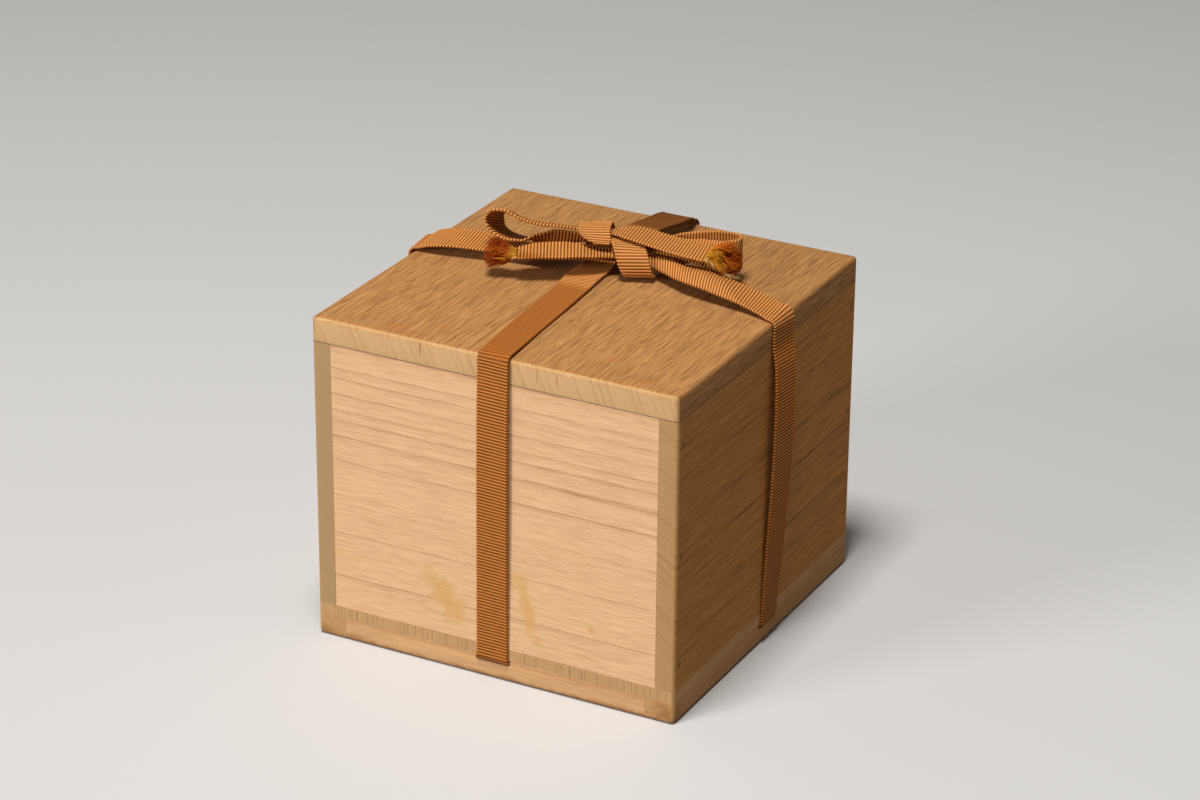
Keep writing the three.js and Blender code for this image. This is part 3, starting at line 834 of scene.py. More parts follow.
@dataclass
class Boards:
    """The wooden box and lid: each packed board gets eased edges and its wood."""

    nodes: dict[str, Object]
    effects: SharedEffects
    ease: float = 0.22 * MM
    merge_distance: float = 0.002 * MM
    flat_angle: float = math.radians(1.0)
    sharp_angle: float = math.radians(50.0)
    shortest_edge: float = 2 * MM
    smooth_angle: float = 15.0
    ease_segments: int = 2

    front_wood: WoodFinish = WoodFinish(
        "front_wall_wood", Grain.ACROSS, (40.0, -260.0), spacing=5.0, wave=1.2, line_strength=0.95,
        stain=(0.72, 0.40, 0.14),
        stains=(
            on_front(-24.6, 33.6, 5.0, 4.6, 0.5),
            on_front(-19.6, 28.0, 7.0, 7.4, 0.8),
            on_front(-15.0, 22.6, 6.0, 7.0, 0.8),
            on_front(10.2, 40.0, 5.4, 4.6, 0.5),
            on_front(12.8, 33.0, 3.6, 7.0, 0.7),
            on_front(14.8, 25.6, 3.0, 8.0, 0.7),
            on_front(17.6, 18.4, 2.6, 2.4, 0.7),
            on_front(38.3, 27.8, 2.2, 1.8, 0.8),
            on_front(-58.0, 33.0, 8.0, 2.0, 0.3),
        ),
    )
    back_wood: WoodFinish = WoodFinish("back_wall_wood", Grain.ACROSS, (-60.0, 90.0), spacing=3.4)
    left_wood: WoodFinish = WoodFinish(
        "left_wall_wood", Grain.BACK, (-160.0, -70.0), spacing=4.4,
        pale=(0.68, 0.41, 0.20), line=(0.44, 0.22, 0.09), end_tint=(0.68, 0.71, 0.72),
        end_band_strength=0.5,
    )
    right_wood: WoodFinish = WoodFinish(
        "right_wall_wood", Grain.BACK, (-24.0, -80.0), spacing=3.4, wave=1.0,
        pale=(0.60, 0.252, 0.056), line=(0.22, 0.072, 0.010), band_strength=0.5, line_strength=0.7,
        fibre_strength=0.42, end_tint=(0.86, 1.20, 2.28), end_line=(0.34, 0.18, 0.07), end_band_strength=0.55,
    )
    lid_wood: WoodFinish = WoodFinish(
        "lid_wood", Grain.BACK, (-420.0, -60.0), spacing=2.6, wave=0.8,
        pale=(0.50, 0.246, 0.083), line=(0.18, 0.066, 0.015), band_strength=0.35, line_strength=0.5,
        fibre_strength=0.6, pore_strength=0.5, end_tint=(1.31, 1.64, 2.30),
        end_line=(0.36, 0.21, 0.09), end_band_strength=0.5, edge_colour=(0.42, 0.17, 0.04),
        stain=(0.38, 0.14, 0.03),
        stains=(
            on_top(-41.0, -62.5, 5.5, 3.0, 0.6),
            on_top(-36.0, -66.5, 9.0, 2.0, 0.4),
            on_top(-26.1, -56.7, 2.6, 2.6, 0.5),
            on_top(37.0, -53.4, 3.4, 2.6, 0.5),
            on_top(53.5, -63.8, 4.6, 2.6, 0.6),
            on_front(-27.3, 117.5, 0.5, 3.6, 0.8, deep=2.0),
            on_front(17.4, 117.2, 0.4, 3.0, 0.6, deep=2.0),
            on_front(24.9, 117.0, 0.4, 3.0, 0.5, deep=2.0),
        ),
    )
    base_wood: WoodFinish = WoodFinish(
        "base_board_wood", Grain.BACK, (-500.0, 0.0), spacing=1.15, wave=0.3,
        pale=(0.62, 0.35, 0.155), line=(0.30, 0.14, 0.05), end_tint=(1.0, 1.06, 1.08),
        end_line=(0.26, 0.13, 0.05), end_band_strength=0.75,
    )
    rail_wood: WoodFinish = WoodFinish(
        "front_rail_wood", Grain.ACROSS, (30.0, -40.0), spacing=4.5,
        pale=(0.76, 0.45, 0.22), edge_strength=1.0, edge_colour=(0.50, 0.22, 0.07),
        stain=(0.42, 0.19, 0.06),
        stains=(
            on_front(-56.0, 0.5, 10.0, 3.6, 0.7),
            on_front(40.0, 0.0, 26.0, 2.4, 0.5),
        ),
    )
    side_rail_wood: WoodFinish = WoodFinish(
        "side_rail_wood", Grain.BACK, (-90.0, -50.0), spacing=2.6,
        pale=(0.56, 0.29, 0.12), line=(0.36, 0.16, 0.05), edge_strength=0.8, corner_strength=0.75,
        end_tint=(1.04, 1.12, 1.16), stain=(0.34, 0.14, 0.04),
        stains=(
            on_front(-68.0, 0.0, 9.0, 5.0, 0.7),
            on_front(68.0, 2.0, 9.0, 8.0, 0.75, deep=12.0),
        ),
    )
    batten_wood: WoodFinish = WoodFinish("batten_wood", Grain.ACROSS, (40.0, 60.0), spacing=3.4)
    side_batten_wood: WoodFinish = WoodFinish(
        "side_batten_wood", Grain.BACK, (40.0, 60.0), spacing=3.4
    )

    def listed(self) -> list[Board]:
        """Lists every board with its wood."""
        box = [
            ("wall_front", self.front_wood),
            ("wall_back", self.back_wood),
            ("wall_left", self.left_wood),
            ("wall_right", self.right_wood),
            ("base_board", self.base_wood),
        ]
        battens = []
        for side in ("front", "back"):
            box.append((f"foot_rail_{side}", self.rail_wood))
            battens.append((f"lid_batten_{side}", self.batten_wood))
        for side in ("left", "right"):
            box.append((f"foot_rail_{side}", self.side_rail_wood))
            battens.append((f"lid_batten_{side}", self.side_batten_wood))
        boards = [Board(node, Body.BOX, "box_wood", wood) for node, wood in box]
        boards += [Board(node, Body.LID, "box_wood", wood) for node, wood in battens]
        boards.append(Board("lid_board", Body.LID, "lid_wood", self.lid_wood))
        return boards

    def eased_mesh(self, node: str) -> Mesh:
        """Copies a packed board, joins its triangles and eases its sharp edges.

        Args:
            node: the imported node's name.

        Returns:
            A new mesh.
        """
        shape = bmesh.new()
        shape.from_mesh(self.nodes[node].data)
        bmesh.ops.remove_doubles(shape, verts=shape.verts, dist=self.merge_distance)
        bmesh.ops.dissolve_limit(
            shape, angle_limit=self.flat_angle, verts=shape.verts, edges=shape.edges
        )
        sharp = [edge for edge in shape.edges if self.is_sharp(edge)]
        bmesh.ops.bevel(
            shape, geom=sharp, offset=self.ease, offset_type="OFFSET", segments=self.ease_segments,
            profile=0.5, affect="EDGES", material=-1, clamp_overlap=True,
        )
        mesh = bpy.data.meshes.new(node + "_eased")
        shape.to_mesh(mesh)
        shape.free()
        return mesh

    def is_sharp(self, edge: bmesh.types.BMEdge) -> bool:
        """Tells whether an edge is a long sharp one, to be eased."""
        if not edge.is_manifold or edge.calc_length() < self.shortest_edge:
            return False
        return edge.calc_face_angle(0.0) > self.sharp_angle

    def build(self) -> None:
        """Dresses every board."""
        made: dict[str, Material] = {}
        for board in self.listed():
            name = board.finish.name
            if name not in made:
                made[name] = board.finish.build(self.effects)
            mesh = self.eased_mesh(board.node)
            piece = new_piece(board.node + "_dressed", mesh, made[name])
            shade_by_angle(mesh, self.smooth_angle)
            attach(piece, board.body.value)
            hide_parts(board.node)
            log.info("board %s: %d faces", board.node, len(mesh.polygons))


@dataclass
class Pegs:
    """The wooden pegs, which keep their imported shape."""

    nodes: dict[str, Object]

    def build(self) -> None:
        """Gives every peg its wood."""
        wood = PegFinish().build()
        pegs = [node for name, node in self.nodes.items() if "_peg_" in name]
        for peg in pegs:
            for slot in peg.material_slots:
                slot.material = wood
        log.info("pegs: %d", len(pegs))


# Ribbon


@dataclass(frozen=True)
class Station:
    """A place on the ribbon: middle, width direction, share of the width and crease.

    The crease is how far it has formed, from 0 to 1.
    """

    middle: Vector
    across: Vector
    share: float = 1.0
    crease: float = 0.0


def catmull(values: Sequence[float], at: float, gaps: Sequence[float]) -> float:
    """Value on a Catmull-Rom curve between the second and third of four values.

    Args:
        values: the four values that the curve follows.
        at: share of the way from the second to the third.
        gaps: the parameter's three steps between the values.

    Returns:
        The value there.
    """
    a, b, c, d = values
    first, mid, last = gaps
    start = ((b - a) / first - (c - a) / (first + mid) + (c - b) / mid) * mid
    stop = ((c - b) / mid - (d - b) / (mid + last) + (d - c) / last) * mid
    square = -3 * b + 3 * c - 2 * start - stop
    cube = 2 * b - 2 * c + start + stop
    return b + start * at + square * at * at + cube * at * at * at


def between(here: Station, after: Station, at: float, middle: Vector) -> Station:
    """A station between two others, with a given middle."""
    return Station(
        middle,
        here.across.lerp(after.across, at * at * (3 - 2 * at)).normalized(),
        here.share + (after.share - here.share) * at,
        here.crease + (after.crease - here.crease) * at,
    )


def smoothed(stations: Sequence[Station], steps: int) -> list[Station]:
    """Puts more stations between those given, on smooth curves through all of them.

    Args:
        stations: the stations to go through.
        steps: how many steps there are from each to the next.

    Returns:
        The stations, closely spaced.
    """
    places = [s.middle for s in stations]
    places = [2 * places[0] - places[1], *places, 2 * places[-1] - places[-2]]
    result = []
    for index, (here, after) in enumerate(zip(stations, stations[1:])):
        four = places[index:index + 4]
        gaps = [max((q - p).length, 1e-6) ** 0.5 for p, q in zip(four, four[1:])]
        for step in range(steps):
            at = step / steps
            middle = Vector([catmull([p[k] for p in four], at, gaps) for k in range(3)])
            result.append(between(here, after, at, middle))
    result.append(stations[-1])
    return result


@dataclass(frozen=True)
class Side:
    """A side of the box, and how the ribbon lies on it, in millimetres.

    at_lid and at_foot are its places along the side, slack how loosely it goes
    round the lid's edge, bulge how far it stands off the wall and twist how much
    further out one of its edges stands.
    """

    along_x: bool
    side: int
    at_lid: float
    at_foot: float
    slack: float
    bulge: float
    twist: float


FOOT_X = 0.3
FOOT_Y = 2.4
BEND_STEPS = 8
DROP_STEPS = 16
FRONT = Side(True, -1, at_lid=1.2, at_foot=FOOT_X, slack=0.3, bulge=0.6, twist=0.05)
BACK = Side(True, 1, at_lid=0.6, at_foot=FOOT_X, slack=1.0, bulge=0.6, twist=0.0)
LEFT = Side(False, -1, at_lid=3.4, at_foot=FOOT_Y, slack=1.2, bulge=0.6, twist=0.08)
RIGHT = Side(False, 1, at_lid=5.6, at_foot=FOOT_Y, slack=1.1, bulge=2.4, twist=0.15)


@dataclass(frozen=True)
class RibbonSizes:
    """Sizes that the ribbon follows, in millimetres."""

    half: float = 70.0
    wall_top: float = 112.0
    wall_bottom: float = 12.2
    base_bottom: float = 8.0
    lid_top: float = 121.0
    edge_radius: float = 1.5
    width: float = 12.4
    thickness: float = 0.9
    clearance: float = 0.15
    bulge_early: float = 0.65
    crossing_reach: float = 20.0
    crossing_dip: float = 1.4
    rib: float = 1.17

    @property
    def lift(self) -> float:
        """Height of the ribbon's middle over what it lies on."""
        return self.clearance + self.thickness / 2


SIZES = RibbonSizes()
RibbonList = Sequence[tuple[float, ...]]


def station(x: float, y: float, z: float, wx: float, wy: float, wz: float, share: float = 1.0) -> Station:
    """Makes a station from millimetres."""
    return Station(Vector((x, y, z)) * MM, Vector((wx, wy, wz)).normalized(), share)


def on_lid(rows: RibbonList) -> list[Station]:
    """Stations listed on the lid: x, y, height over the lid, width direction, share."""
    return [station(x, y, SIZES.lid_top + h, *rest) for x, y, h, *rest in rows]


def beside(
    side: Side, out: float, up: float, along: float, outward: float = 0.0, upward: float = 0.0
) -> Station:
    """A station beside or under the box.

    Args:
        side: the side of the box.
        out: distance from the box's middle.
        up: height.
        along: place along the side.
        outward: how much further out one edge of the ribbon stands.
        upward: how much higher that edge is.

    Returns:
        The station.
    """
    if side.along_x:
        return station(along, side.side * out, up, 1, side.side * outward, upward)
    return station(side.side * out, along, up, side.side * outward, 1, upward)


def lean(side: Side, height: float) -> float:
    """The ribbon's place along a side at a height."""
    share = (height - SIZES.base_bottom) / (SIZES.lid_top - SIZES.base_bottom)
    return side.at_foot + (side.at_lid - side.at_foot) * share


def bend(out: float, up: float, radius: float, start: float, stop: float) -> list[tuple[float, ...]]:
    """Points on a bend in a plane.

    Args:
        out: reach of the bend's middle.
        up: height of the bend's middle.
        radius: the bend's radius.
        start: first angle.
        stop: last angle.

    Returns:
        Reach, height and angle of each point.
    """
    angles = [start + (stop - start) * i / BEND_STEPS for i in range(BEND_STEPS + 1)]
    return [(out + radius * math.cos(a), up + radius * math.sin(a), a) for a in angles]


def drop(side: Side) -> list[Station]:
    """One side of the ribbon from the lid's joint down and round under the base board."""
    rows = []
    for i in range(DROP_STEPS + 1):
        share = i / DROP_STEPS
        height = SIZES.wall_top + (SIZES.wall_bottom - SIZES.wall_top) * share
        bulge = side.bulge * math.sin(math.pi * share ** SIZES.bulge_early)
        out = SIZES.half + SIZES.lift + side.slack * (1 - share) ** 2 + bulge
        rows.append(beside(side, out, height, lean(side, height), side.twist * (1 - share ** 3)))
    for out, up, _ in bend(SIZES.half, SIZES.base_bottom, SIZES.lift, 0.0, -math.pi / 2):
        rows.append(beside(side, out, up, side.at_foot))
    return rows


def over_edge(side: Side) -> list[Station]:
    """From the lid's joint round the lid's edge onto its top."""
    radius = SIZES.edge_radius + SIZES.lift + side.slack
    inner = SIZES.half - SIZES.edge_radius
    rows = []
    for out, up, angle in bend(inner, SIZES.lid_top - SIZES.edge_radius, radius, 0.0, math.pi / 2):
        outward, upward = side.twist * math.cos(angle), side.twist * math.sin(angle)
        rows.append(beside(side, out, up, lean(side, up), outward, upward))
    return rows


def from_edge(side: Side, rows: RibbonList) -> list[Station]:
    """Stations listed near the lid's edge, with the first number counted in from it."""
    made = []
    for inset, along, height, *rest in rows:
        out = side.side * (SIZES.half - inset)
        place = (along, out) if side.along_x else (out, along)
        made.append(station(*place, SIZES.lid_top + height, *rest))
    return made


@dataclass(frozen=True)
class Crease:
    """A fold along the ribbon near one edge, between two places along the row's X."""

    begins: float = 57.0
    full: float = 44.0
    height: float = 2.4 * MM
    place: float = 0.4

    def formed(self, x: float) -> float:
        """How far the fold has formed at a place, from 0 to 1."""
        share = min(1.0, max(0.0, (self.begins - x / MM) / (self.begins - self.full)))
        return share * share * (3 - 2 * share)

    def lift(self, side: float, formed: float) -> float:
        """How far the fold lifts the ribbon.

        Args:
            side: place across the ribbon, from -1 to 1.
            formed: how far the fold has formed.

        Returns:
            The height over the flat ribbon.
        """
        if formed <= 0:
            return 0.0
        top = -1.0 + 2.0 * self.place * formed
        share = (side + 1) / (top + 1) if side < top else (1 - side) / (1 - top)
        return self.height * formed * math.sin(math.pi / 2 * share)


@dataclass(frozen=True)
class Lap:
    """A lap of the ribbon over the lid: the run from the edge, then its way into the knot."""

    side: Side
    run: RibbonList
    knot: RibbonList
    crease: Crease | None = None

    def stations(self) -> list[Station]:
        """Stations from the lid's joint to the ribbon's end in the knot."""
        rows = over_edge(self.side) + from_edge(self.side, self.run) + on_lid(self.knot)
        if self.crease is None:
            return rows
        return [Station(s.middle, s.across, s.share, self.crease.formed(s.middle.x)) for s in rows]


# Goes under the knot, up behind it, over the top and down in front
FRONT_LAP = Lap(
    FRONT,
    run=(
        (24, -0.8, 0.7, 0.99, 0.05, 0), (44, -2, 0.8, 0.99, 0.08, 0),
    ),
    knot=(
        (-3.2, -8, 1, 0.97, 0.2, 0), (-4, 3, 1.4, 0.94, 0.33, -0.05),
        (-3.8, 11.5, 1.8, 0.9, 0.42, -0.1, 0.95), (-5.4, 18.5, 2.2, 0.9, 0.42, 0, 0.9),
        (-8.2, 23, 5.4, 0.9, 0.42, 0, 0.9), (-8.8, 23.4, 10.6, 0.9, 0.43, 0, 0.92),
        (-8, 20.4, 14.6, 0.89, 0.45, 0.04, 0.92), (-6.3, 15.6, 15.5, 0.88, 0.47, 0.04, 0.92),
        (-4.8, 12, 14.7, 0.9, 0.43, 0.01, 0.92), (-2.6, 10.2, 13, 0.9, 0.38, -0.05, 0.8),
        (-1.3, 9.8, 12.2, 0.86, 0.44, -0.06, 0.58), (-0.1, 9.6, 11.6, 0.86, 0.44, -0.06, 0.36),
    ),
)

# Rises to the knot, goes over its right half and down in front, and tucks under
BACK_LAP = Lap(
    BACK,
    run=(
        (7, 2, 4.4, 0.99, 0.1, -0.04), (13.5, 2.8, 6.2, 0.98, 0.16, -0.06),
        (22.2, 3.6, 7.9, 0.95, 0.28, -0.08),
    ),
    knot=(
        (3.6, 38.2, 9.6, 0.92, 0.36, -0.08), (4.2, 27, 11.4, 0.9, 0.43, -0.08),
        (5, 20.5, 12.1, 0.88, 0.45, -0.02, 0.9), (5.8, 16, 12.1, 0.87, 0.47, -0.02, 0.9),
        (8.6, 12.2, 11.9, 0.9, 0.43, -0.06, 0.95), (11.1, 9.6, 9.6, 0.91, 0.41, 0.03, 0.95),
        (12.6, 8.8, 6.2, 0.92, 0.36, 0.05, 0.93), (13.6, 9.6, 3, 0.92, 0.38, 0.02, 0.88),
        (13.4, 12.6, 1.3, 0.9, 0.43, 0, 0.84),
    ),
)

LEFT_LAP = Lap(
    LEFT,
    run=(
        (5, 3.2, 3.6, 0.05, 0.97, 0.2), (10, 3.4, 4.9, 0.03, 0.97, 0.22),
        (17, 4.6, 5.4, -0.02, 0.97, 0.2), (26, 6.8, 4.8, -0.07, 0.98, 0.13),
    ),
    knot=(
        (-34, 9.4, 4, -0.06, 0.99, 0.02), (-22, 11, 3.6, -0.05, 0.99, 0),
        (-12, 12.4, 4.4, -0.1, 0.98, -0.05, 0.75), (-4, 13.2, 5.2, -0.1, 0.98, -0.05, 0.65),
        (4, 13.8, 5.2, -0.1, 0.97, -0.1, 0.55),
    ),
)

RIGHT_LAP = Lap(
    RIGHT,
    run=(
        (7, 7.2, 2.6, 0, 0.99, 0.1), (14, 8.6, 3.7, -0.1, 0.98, 0.12),
        (24, 9.8, 4.9, -0.2, 0.97, 0.15),
    ),
    knot=(
        (38, 11, 5.6, -0.25, 0.95, 0.14), (31, 12, 5.7, -0.3, 0.93, 0.12, 0.95),
        (24, 13.8, 6.2, -0.33, 0.85, 0.4, 0.7), (18, 15, 6.3, -0.35, 0.75, 0.55, 0.45),
        (12.5, 15.2, 6, -0.3, 0.8, 0.45, 0.4),
    ),
    crease=Crease(),
)

LOOP_LEFT: RibbonList = (
    (-4.6, 16.4, 12.2, -0.42, 0.86, -0.24, 0.42), (-8.6, 16.1, 12.5, -0.42, 0.84, -0.28, 0.4),
    (-13.5, 14.6, 13.5, -0.42, 0.84, -0.3, 0.62), (-19, 12.4, 14.2, -0.42, 0.84, -0.31),
    (-25, 9.6, 14.8, -0.42, 0.84, -0.3), (-31.9, 7.8, 16.2, -0.4, 0.85, -0.32),
    (-37.4, 7.6, 17.9, -0.26, 0.88, -0.38), (-41.6, 8.2, 16.5, -0.02, 0.93, -0.36),
    (-42.9, 8.6, 12.8, 0.12, 0.93, -0.34), (-41.5, 8.2, 10.2, 0.05, 0.93, -0.24),
    (-37, 8.4, 8.2, -0.13, 0.93, -0.2), (-31.1, 9, 7.9, -0.22, 0.94, -0.27),
    (-25.6, 10, 8.6, -0.32, 0.69, -0.65), (-20.4, 12, 9.3, -0.31, 0.49, -0.81, 0.95),
    (-15.9, 14, 9.6, -0.33, 0.5, -0.8, 0.75), (-11, 15.8, 10, -0.4, 0.6, -0.7, 0.55),
    (-4.6, 16.6, 10.2, -0.45, 0.7, -0.55, 0.4),
)

LOOP_RIGHT: RibbonList = (
    (8.5, 18.2, 9.4, -0.2, 0.96, 0.1, 0.45), (14.5, 20.6, 10.4, -0.2, 0.96, 0.16, 0.8),
    (23, 22.4, 10.4, -0.2, 0.95, 0.2, 0.95), (31, 23.8, 9.9, -0.14, 0.86, 0.44),
    (37.5, 22.8, 9.6, -0.04, 0.6, 0.8), (42.6, 23.8, 10.4, 0.02, 0.3, 0.95),
    (44.4, 26.6, 10.8, 0, 0.1, 0.99), (43.4, 29.4, 11.1, 0, -0.08, 0.99),
    (37, 30.8, 10.8, 0, -0.12, 0.99), (28.5, 30.6, 9.2, 0, -0.1, 0.99),
    (20, 28.4, 7.4, 0, 0.1, 0.99, 0.95), (13.6, 23.4, 6.6, -0.1, 0.6, 0.8, 0.7),
    (9, 19.2, 6.8, -0.2, 0.9, 0.3, 0.45),
)

TAIL_LEFT: RibbonList = (
    (6, 13.4, 7.8, -0.45, 0.88, 0.1, 0.4), (1.8, 12, 7.9, -0.46, 0.88, 0.1, 0.5),
    (-2.4, 8.3, 8.7, -0.46, 0.88, 0, 0.75), (-7.5, 5, 9.7, -0.46, 0.88, 0.05, 0.95),
    (-12.4, 2, 9.9, -0.46, 0.88, 0.09), (-19.9, -2.5, 9.8, -0.46, 0.88, 0.06),
    (-23.4, -4.9, 9.4, -0.46, 0.88, 0.02, 0.95), (-25.6, -6.4, 9.1, -0.46, 0.88, 0, 0.85),
)

TAIL_RIGHT: RibbonList = (
    (-1.6, 17.2, 13.4, -0.25, 0.95, -0.02, 0.38), (1.4, 17.4, 13.9, -0.2, 0.97, 0, 0.45),
    (5.6, 18, 14.4, -0.15, 0.98, 0.04, 0.85), (10.8, 18.8, 13.9, -0.13, 0.99, 0.04),
    (17, 18.8, 13.2, -0.12, 0.99, 0.05), (23.5, 18.6, 12.7, -0.13, 0.99, 0.08),
    (30, 18.4, 12.5, -0.15, 0.98, 0.1), (36, 18.4, 12.3, -0.2, 0.97, 0.1),
)


Section = Callable[[float, float], tuple[float, float, float]]
SEAM_GAP = 1e-7
LEAST_SPAN = 1e-9


@dataclass
class Sweep:
    """Carries a closed section along stations, and writes a UV map on it.

    The section gives a point's distance across, its height and its v for a place
    round the section and a distance along the route.
    """

    section: Section
    around: int
    step: float
    crease: Crease = Crease()

    def spaced(self, stations: Sequence[Station]) -> tuple[list[Station], float]:
        """Spaces stations evenly along the route.

        Args:
            stations: closely spaced stations.

        Returns:
            The evenly spaced stations and the route's length.
        """
        reached = [0.0]
        for a, b in zip(stations, stations[1:]):
            reached.append(reached[-1] + (b.middle - a.middle).length)
        total = reached[-1]
        count = max(2, round(total / self.step))
        made, index = [], 0
        for i in range(count + 1):
            want = total * i / count
            while index < len(stations) - 2 and reached[index + 1] < want:
                index += 1
            a, b = stations[index], stations[index + 1]
            span = max(reached[index + 1] - reached[index], LEAST_SPAN)
            at = min(1.0, max(0.0, (want - reached[index]) / span))
            made.append(between(a, b, at, a.middle.lerp(b.middle, at)))
        return made, total

    @staticmethod
    def directions(rings: Sequence[Station]) -> list[tuple[Vector, Vector]]:
        """Directions across and up from each station."""
        pairs = []
        last = len(rings) - 1
        for index, ring in enumerate(rings):
            ahead = rings[min(index + 1, last)].middle - rings[max(index - 1, 0)].middle
            pairs.append((ring.across, ahead.cross(ring.across).normalized()))
        return pairs

    def add(
        self,
        shape: bmesh.types.BMesh,
        stations: Sequence[Station],
        v_range: tuple[float, float] = (0.0, 1.0),
    ) -> float:
        """Adds one swept body to a shape.

        Args:
            shape: the bmesh to add to.
            stations: closely spaced stations of the route.
            v_range: the UV map's v at the two edges.

        Returns:
            The route's length.
        """
        rings, total = self.spaced(stations)
        count = len(rings) - 1
        layers = shape.verts.layers.float_vector
        labels = layers.get("label") or layers.new("label")
        made = bmesh.ops.create_grid(shape, x_segments=count, y_segments=self.around, size=1.0)["verts"]
        pairs = self.directions(rings)
        half = SIZES.width / 2 * MM
        for vert in made:
            index = round((vert.co.x + 1) / 2 * count)
            turn = round((vert.co.y + 1) / 2 * self.around) % self.around
            length = total * index / count
            sideways, lifted, v = self.section(turn / self.around, length)
            ring = rings[index]
            across, up = pairs[index]
            vert.co = ring.middle + across * (sideways * ring.share) + up * lifted
            vert.co.z += self.crease.lift(max(-1.0, min(1.0, sideways / half)), ring.crease)
            vert[labels] = (length, v_range[0] + (v_range[1] - v_range[0]) * v, 0.0)
        bmesh.ops.remove_doubles(shape, verts=made, dist=SEAM_GAP)
        return total


def finish_sweep(shape: bmesh.types.BMesh, name: str, u_unit: float) -> Mesh:
    """Closes swept bodies, writes their UV map and makes them a mesh.

    Args:
        shape: the swept bodies.
        name: the mesh's name.
        u_unit: length that is one unit of u.

    Returns:
        The mesh.
    """
    rims = [edge for edge in shape.edges if edge.is_boundary]
    bmesh.ops.holes_fill(shape, edges=rims, sides=0)
    bmesh.ops.recalc_face_normals(shape, faces=shape.faces)
    uv = shape.loops.layers.uv.new("weave")
    labels = shape.verts.layers.float_vector["label"]
    for face in shape.faces:
        face.smooth = True
        for loop in face.loops:
            label = loop.vert[labels]
            loop[uv].uv = (label[0] / u_unit, label[1])
    shape.verts.layers.float_vector.remove(labels)
    mesh = bpy.data.meshes.new(name)
    shape.to_mesh(mesh)
    shape.free()
    return mesh


@dataclass
class Ribbon:
    """The ribbon: two pieces tied round the box, and the bow's loops and tails."""

    effects: SharedEffects
    rings_per_rib: int = 4
    across_points: tuple[float, ...] = (0.0, 0.4, 0.74, 0.84, 0.91, 0.97, 1.0)
    valley_share: float = 0.48
    edge_share: float = 0.09
    bead_place: float = 0.91
    bead_half: float = 0.09
    bead_swell: float = 0.4
    scallop: float = 0.2 * MM
    fullness: float = 0.7
    curve_steps: int = 14

    def section(self, turn: float, length: float) -> tuple[float, float, float]:
        """A point of the ribbed section, with a thick bead along each edge.

        Args:
            turn: place round the section, from 0 to 1.
            length: distance along the ribbon.

        Returns:
            Distance across, distance up, and v of the UV map.
        """
        half = [-p for p in reversed(self.across_points)] + list(self.across_points[1:])
        last = len(half) - 1
        index = round(turn * 2 * last)
        side = half[index] if index <= last else half[2 * last - index]
        sign = 1.0 if index <= last else -1.0
        crest = 0.5 - 0.5 * math.cos(2 * math.pi * length / (SIZES.rib * MM))
        inner = min(1.0, (1.0 - abs(side)) / self.edge_share)
        rim = math.sqrt(max(0.0, 1.0 - (1.0 - inner) ** 2))
        bead = max(0.0, 1.0 - ((abs(side) - self.bead_place) / self.bead_half) ** 2)
        full = self.valley_share + (1 - self.valley_share) * crest ** self.fullness
        thick = SIZES.thickness / 2 * MM * full
        reach = SIZES.width / 2 * MM - self.scallop * (1.0 - crest) * abs(side)
        return side * reach, sign * thick * rim * (1 + self.bead_swell * bead), 0.5 + 0.5 * side

    def piece(
        self, name: str, stations: Sequence[Station], material: Material
    ) -> Object:
        """Makes one length of ribbon.

        Args:
            name: the piece's name.
            stations: closely spaced stations.
            material: the ribbon's cloth.

        Returns:
            The new object.
        """
        shape = bmesh.new()
        around = 4 * (len(self.across_points) - 1)
        total = Sweep(self.section, around, SIZES.rib * MM / self.rings_per_rib).add(shape, stations)
        mesh = finish_sweep(shape, name, SIZES.rib * MM)
        piece = new_piece(name, mesh, material)
        log.info("%s: %.0f mm long, %d faces", name, total / MM, len(mesh.polygons))
        return piece

    def tied(self, first: Lap, second: Lap, dip: float) -> list[Station]:
        """Stations of one ribbon from its first end in the knot, under the box, to its other end.

        Args:
            first: the lap that it starts with.
            second: the lap that it ends with.
            dip: how far it dips under the other ribbon.

        Returns:
            The stations, closely spaced.
        """
        level = SIZES.base_bottom - SIZES.lift - dip
        run = first.stations()[::-1] + drop(first.side)
        for side in (first.side, second.side):
            run.append(beside(side, SIZES.crossing_reach, level, side.at_foot))
        run += drop(second.side)[::-1] + second.stations()
        return smoothed(run, self.curve_steps)

    def build(self) -> None:
        """Makes the tied ribbons, loops and tails."""
        cloth = RibbonFinish().build(self.effects)
        tied = (
            ("front_back", self.tied(FRONT_LAP, BACK_LAP, 0.0), ("front", "back")),
            ("left_right", self.tied(LEFT_LAP, RIGHT_LAP, SIZES.crossing_dip), ("left", "right")),
        )
        for name, stations, laps in tied:
            piece = self.piece("ribbon_" + name, stations, cloth)
            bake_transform(piece)
            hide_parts("ribbon_sling_" + name, *("ribbon_lap_" + lap for lap in laps))
        bow = {
            "loop_left": LOOP_LEFT,
            "loop_right": LOOP_RIGHT,
            "tail_left": TAIL_LEFT,
            "tail_right": TAIL_RIGHT,
        }
        for name, rows in bow.items():
            piece = self.piece("ribbon_" + name, smoothed(on_lid(rows), self.curve_steps), cloth)
            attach(piece, Body.LID.value)
            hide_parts("bow_" + name)


@dataclass(frozen=True)
class Clump:
    """Threads that stick together; sizes in millimetres.

    sideways and upward say where its tips are, beside the ribbon's end. The hue
    runs from 0, rust, over orange and straw to 1, pale.
    """

    sideways: float
    upward: float
    reach: float
    hue: float
    threads: int
    spread: float = 1.6
    wave: float = 0.7


@dataclass(frozen=True)
class Brush:
    """One frayed end: the node it stands for, its tail, where it points, and its clumps."""

    node: str
    tail: RibbonList
    heading: Point
    clumps: tuple[Clump, ...]
    seed: int


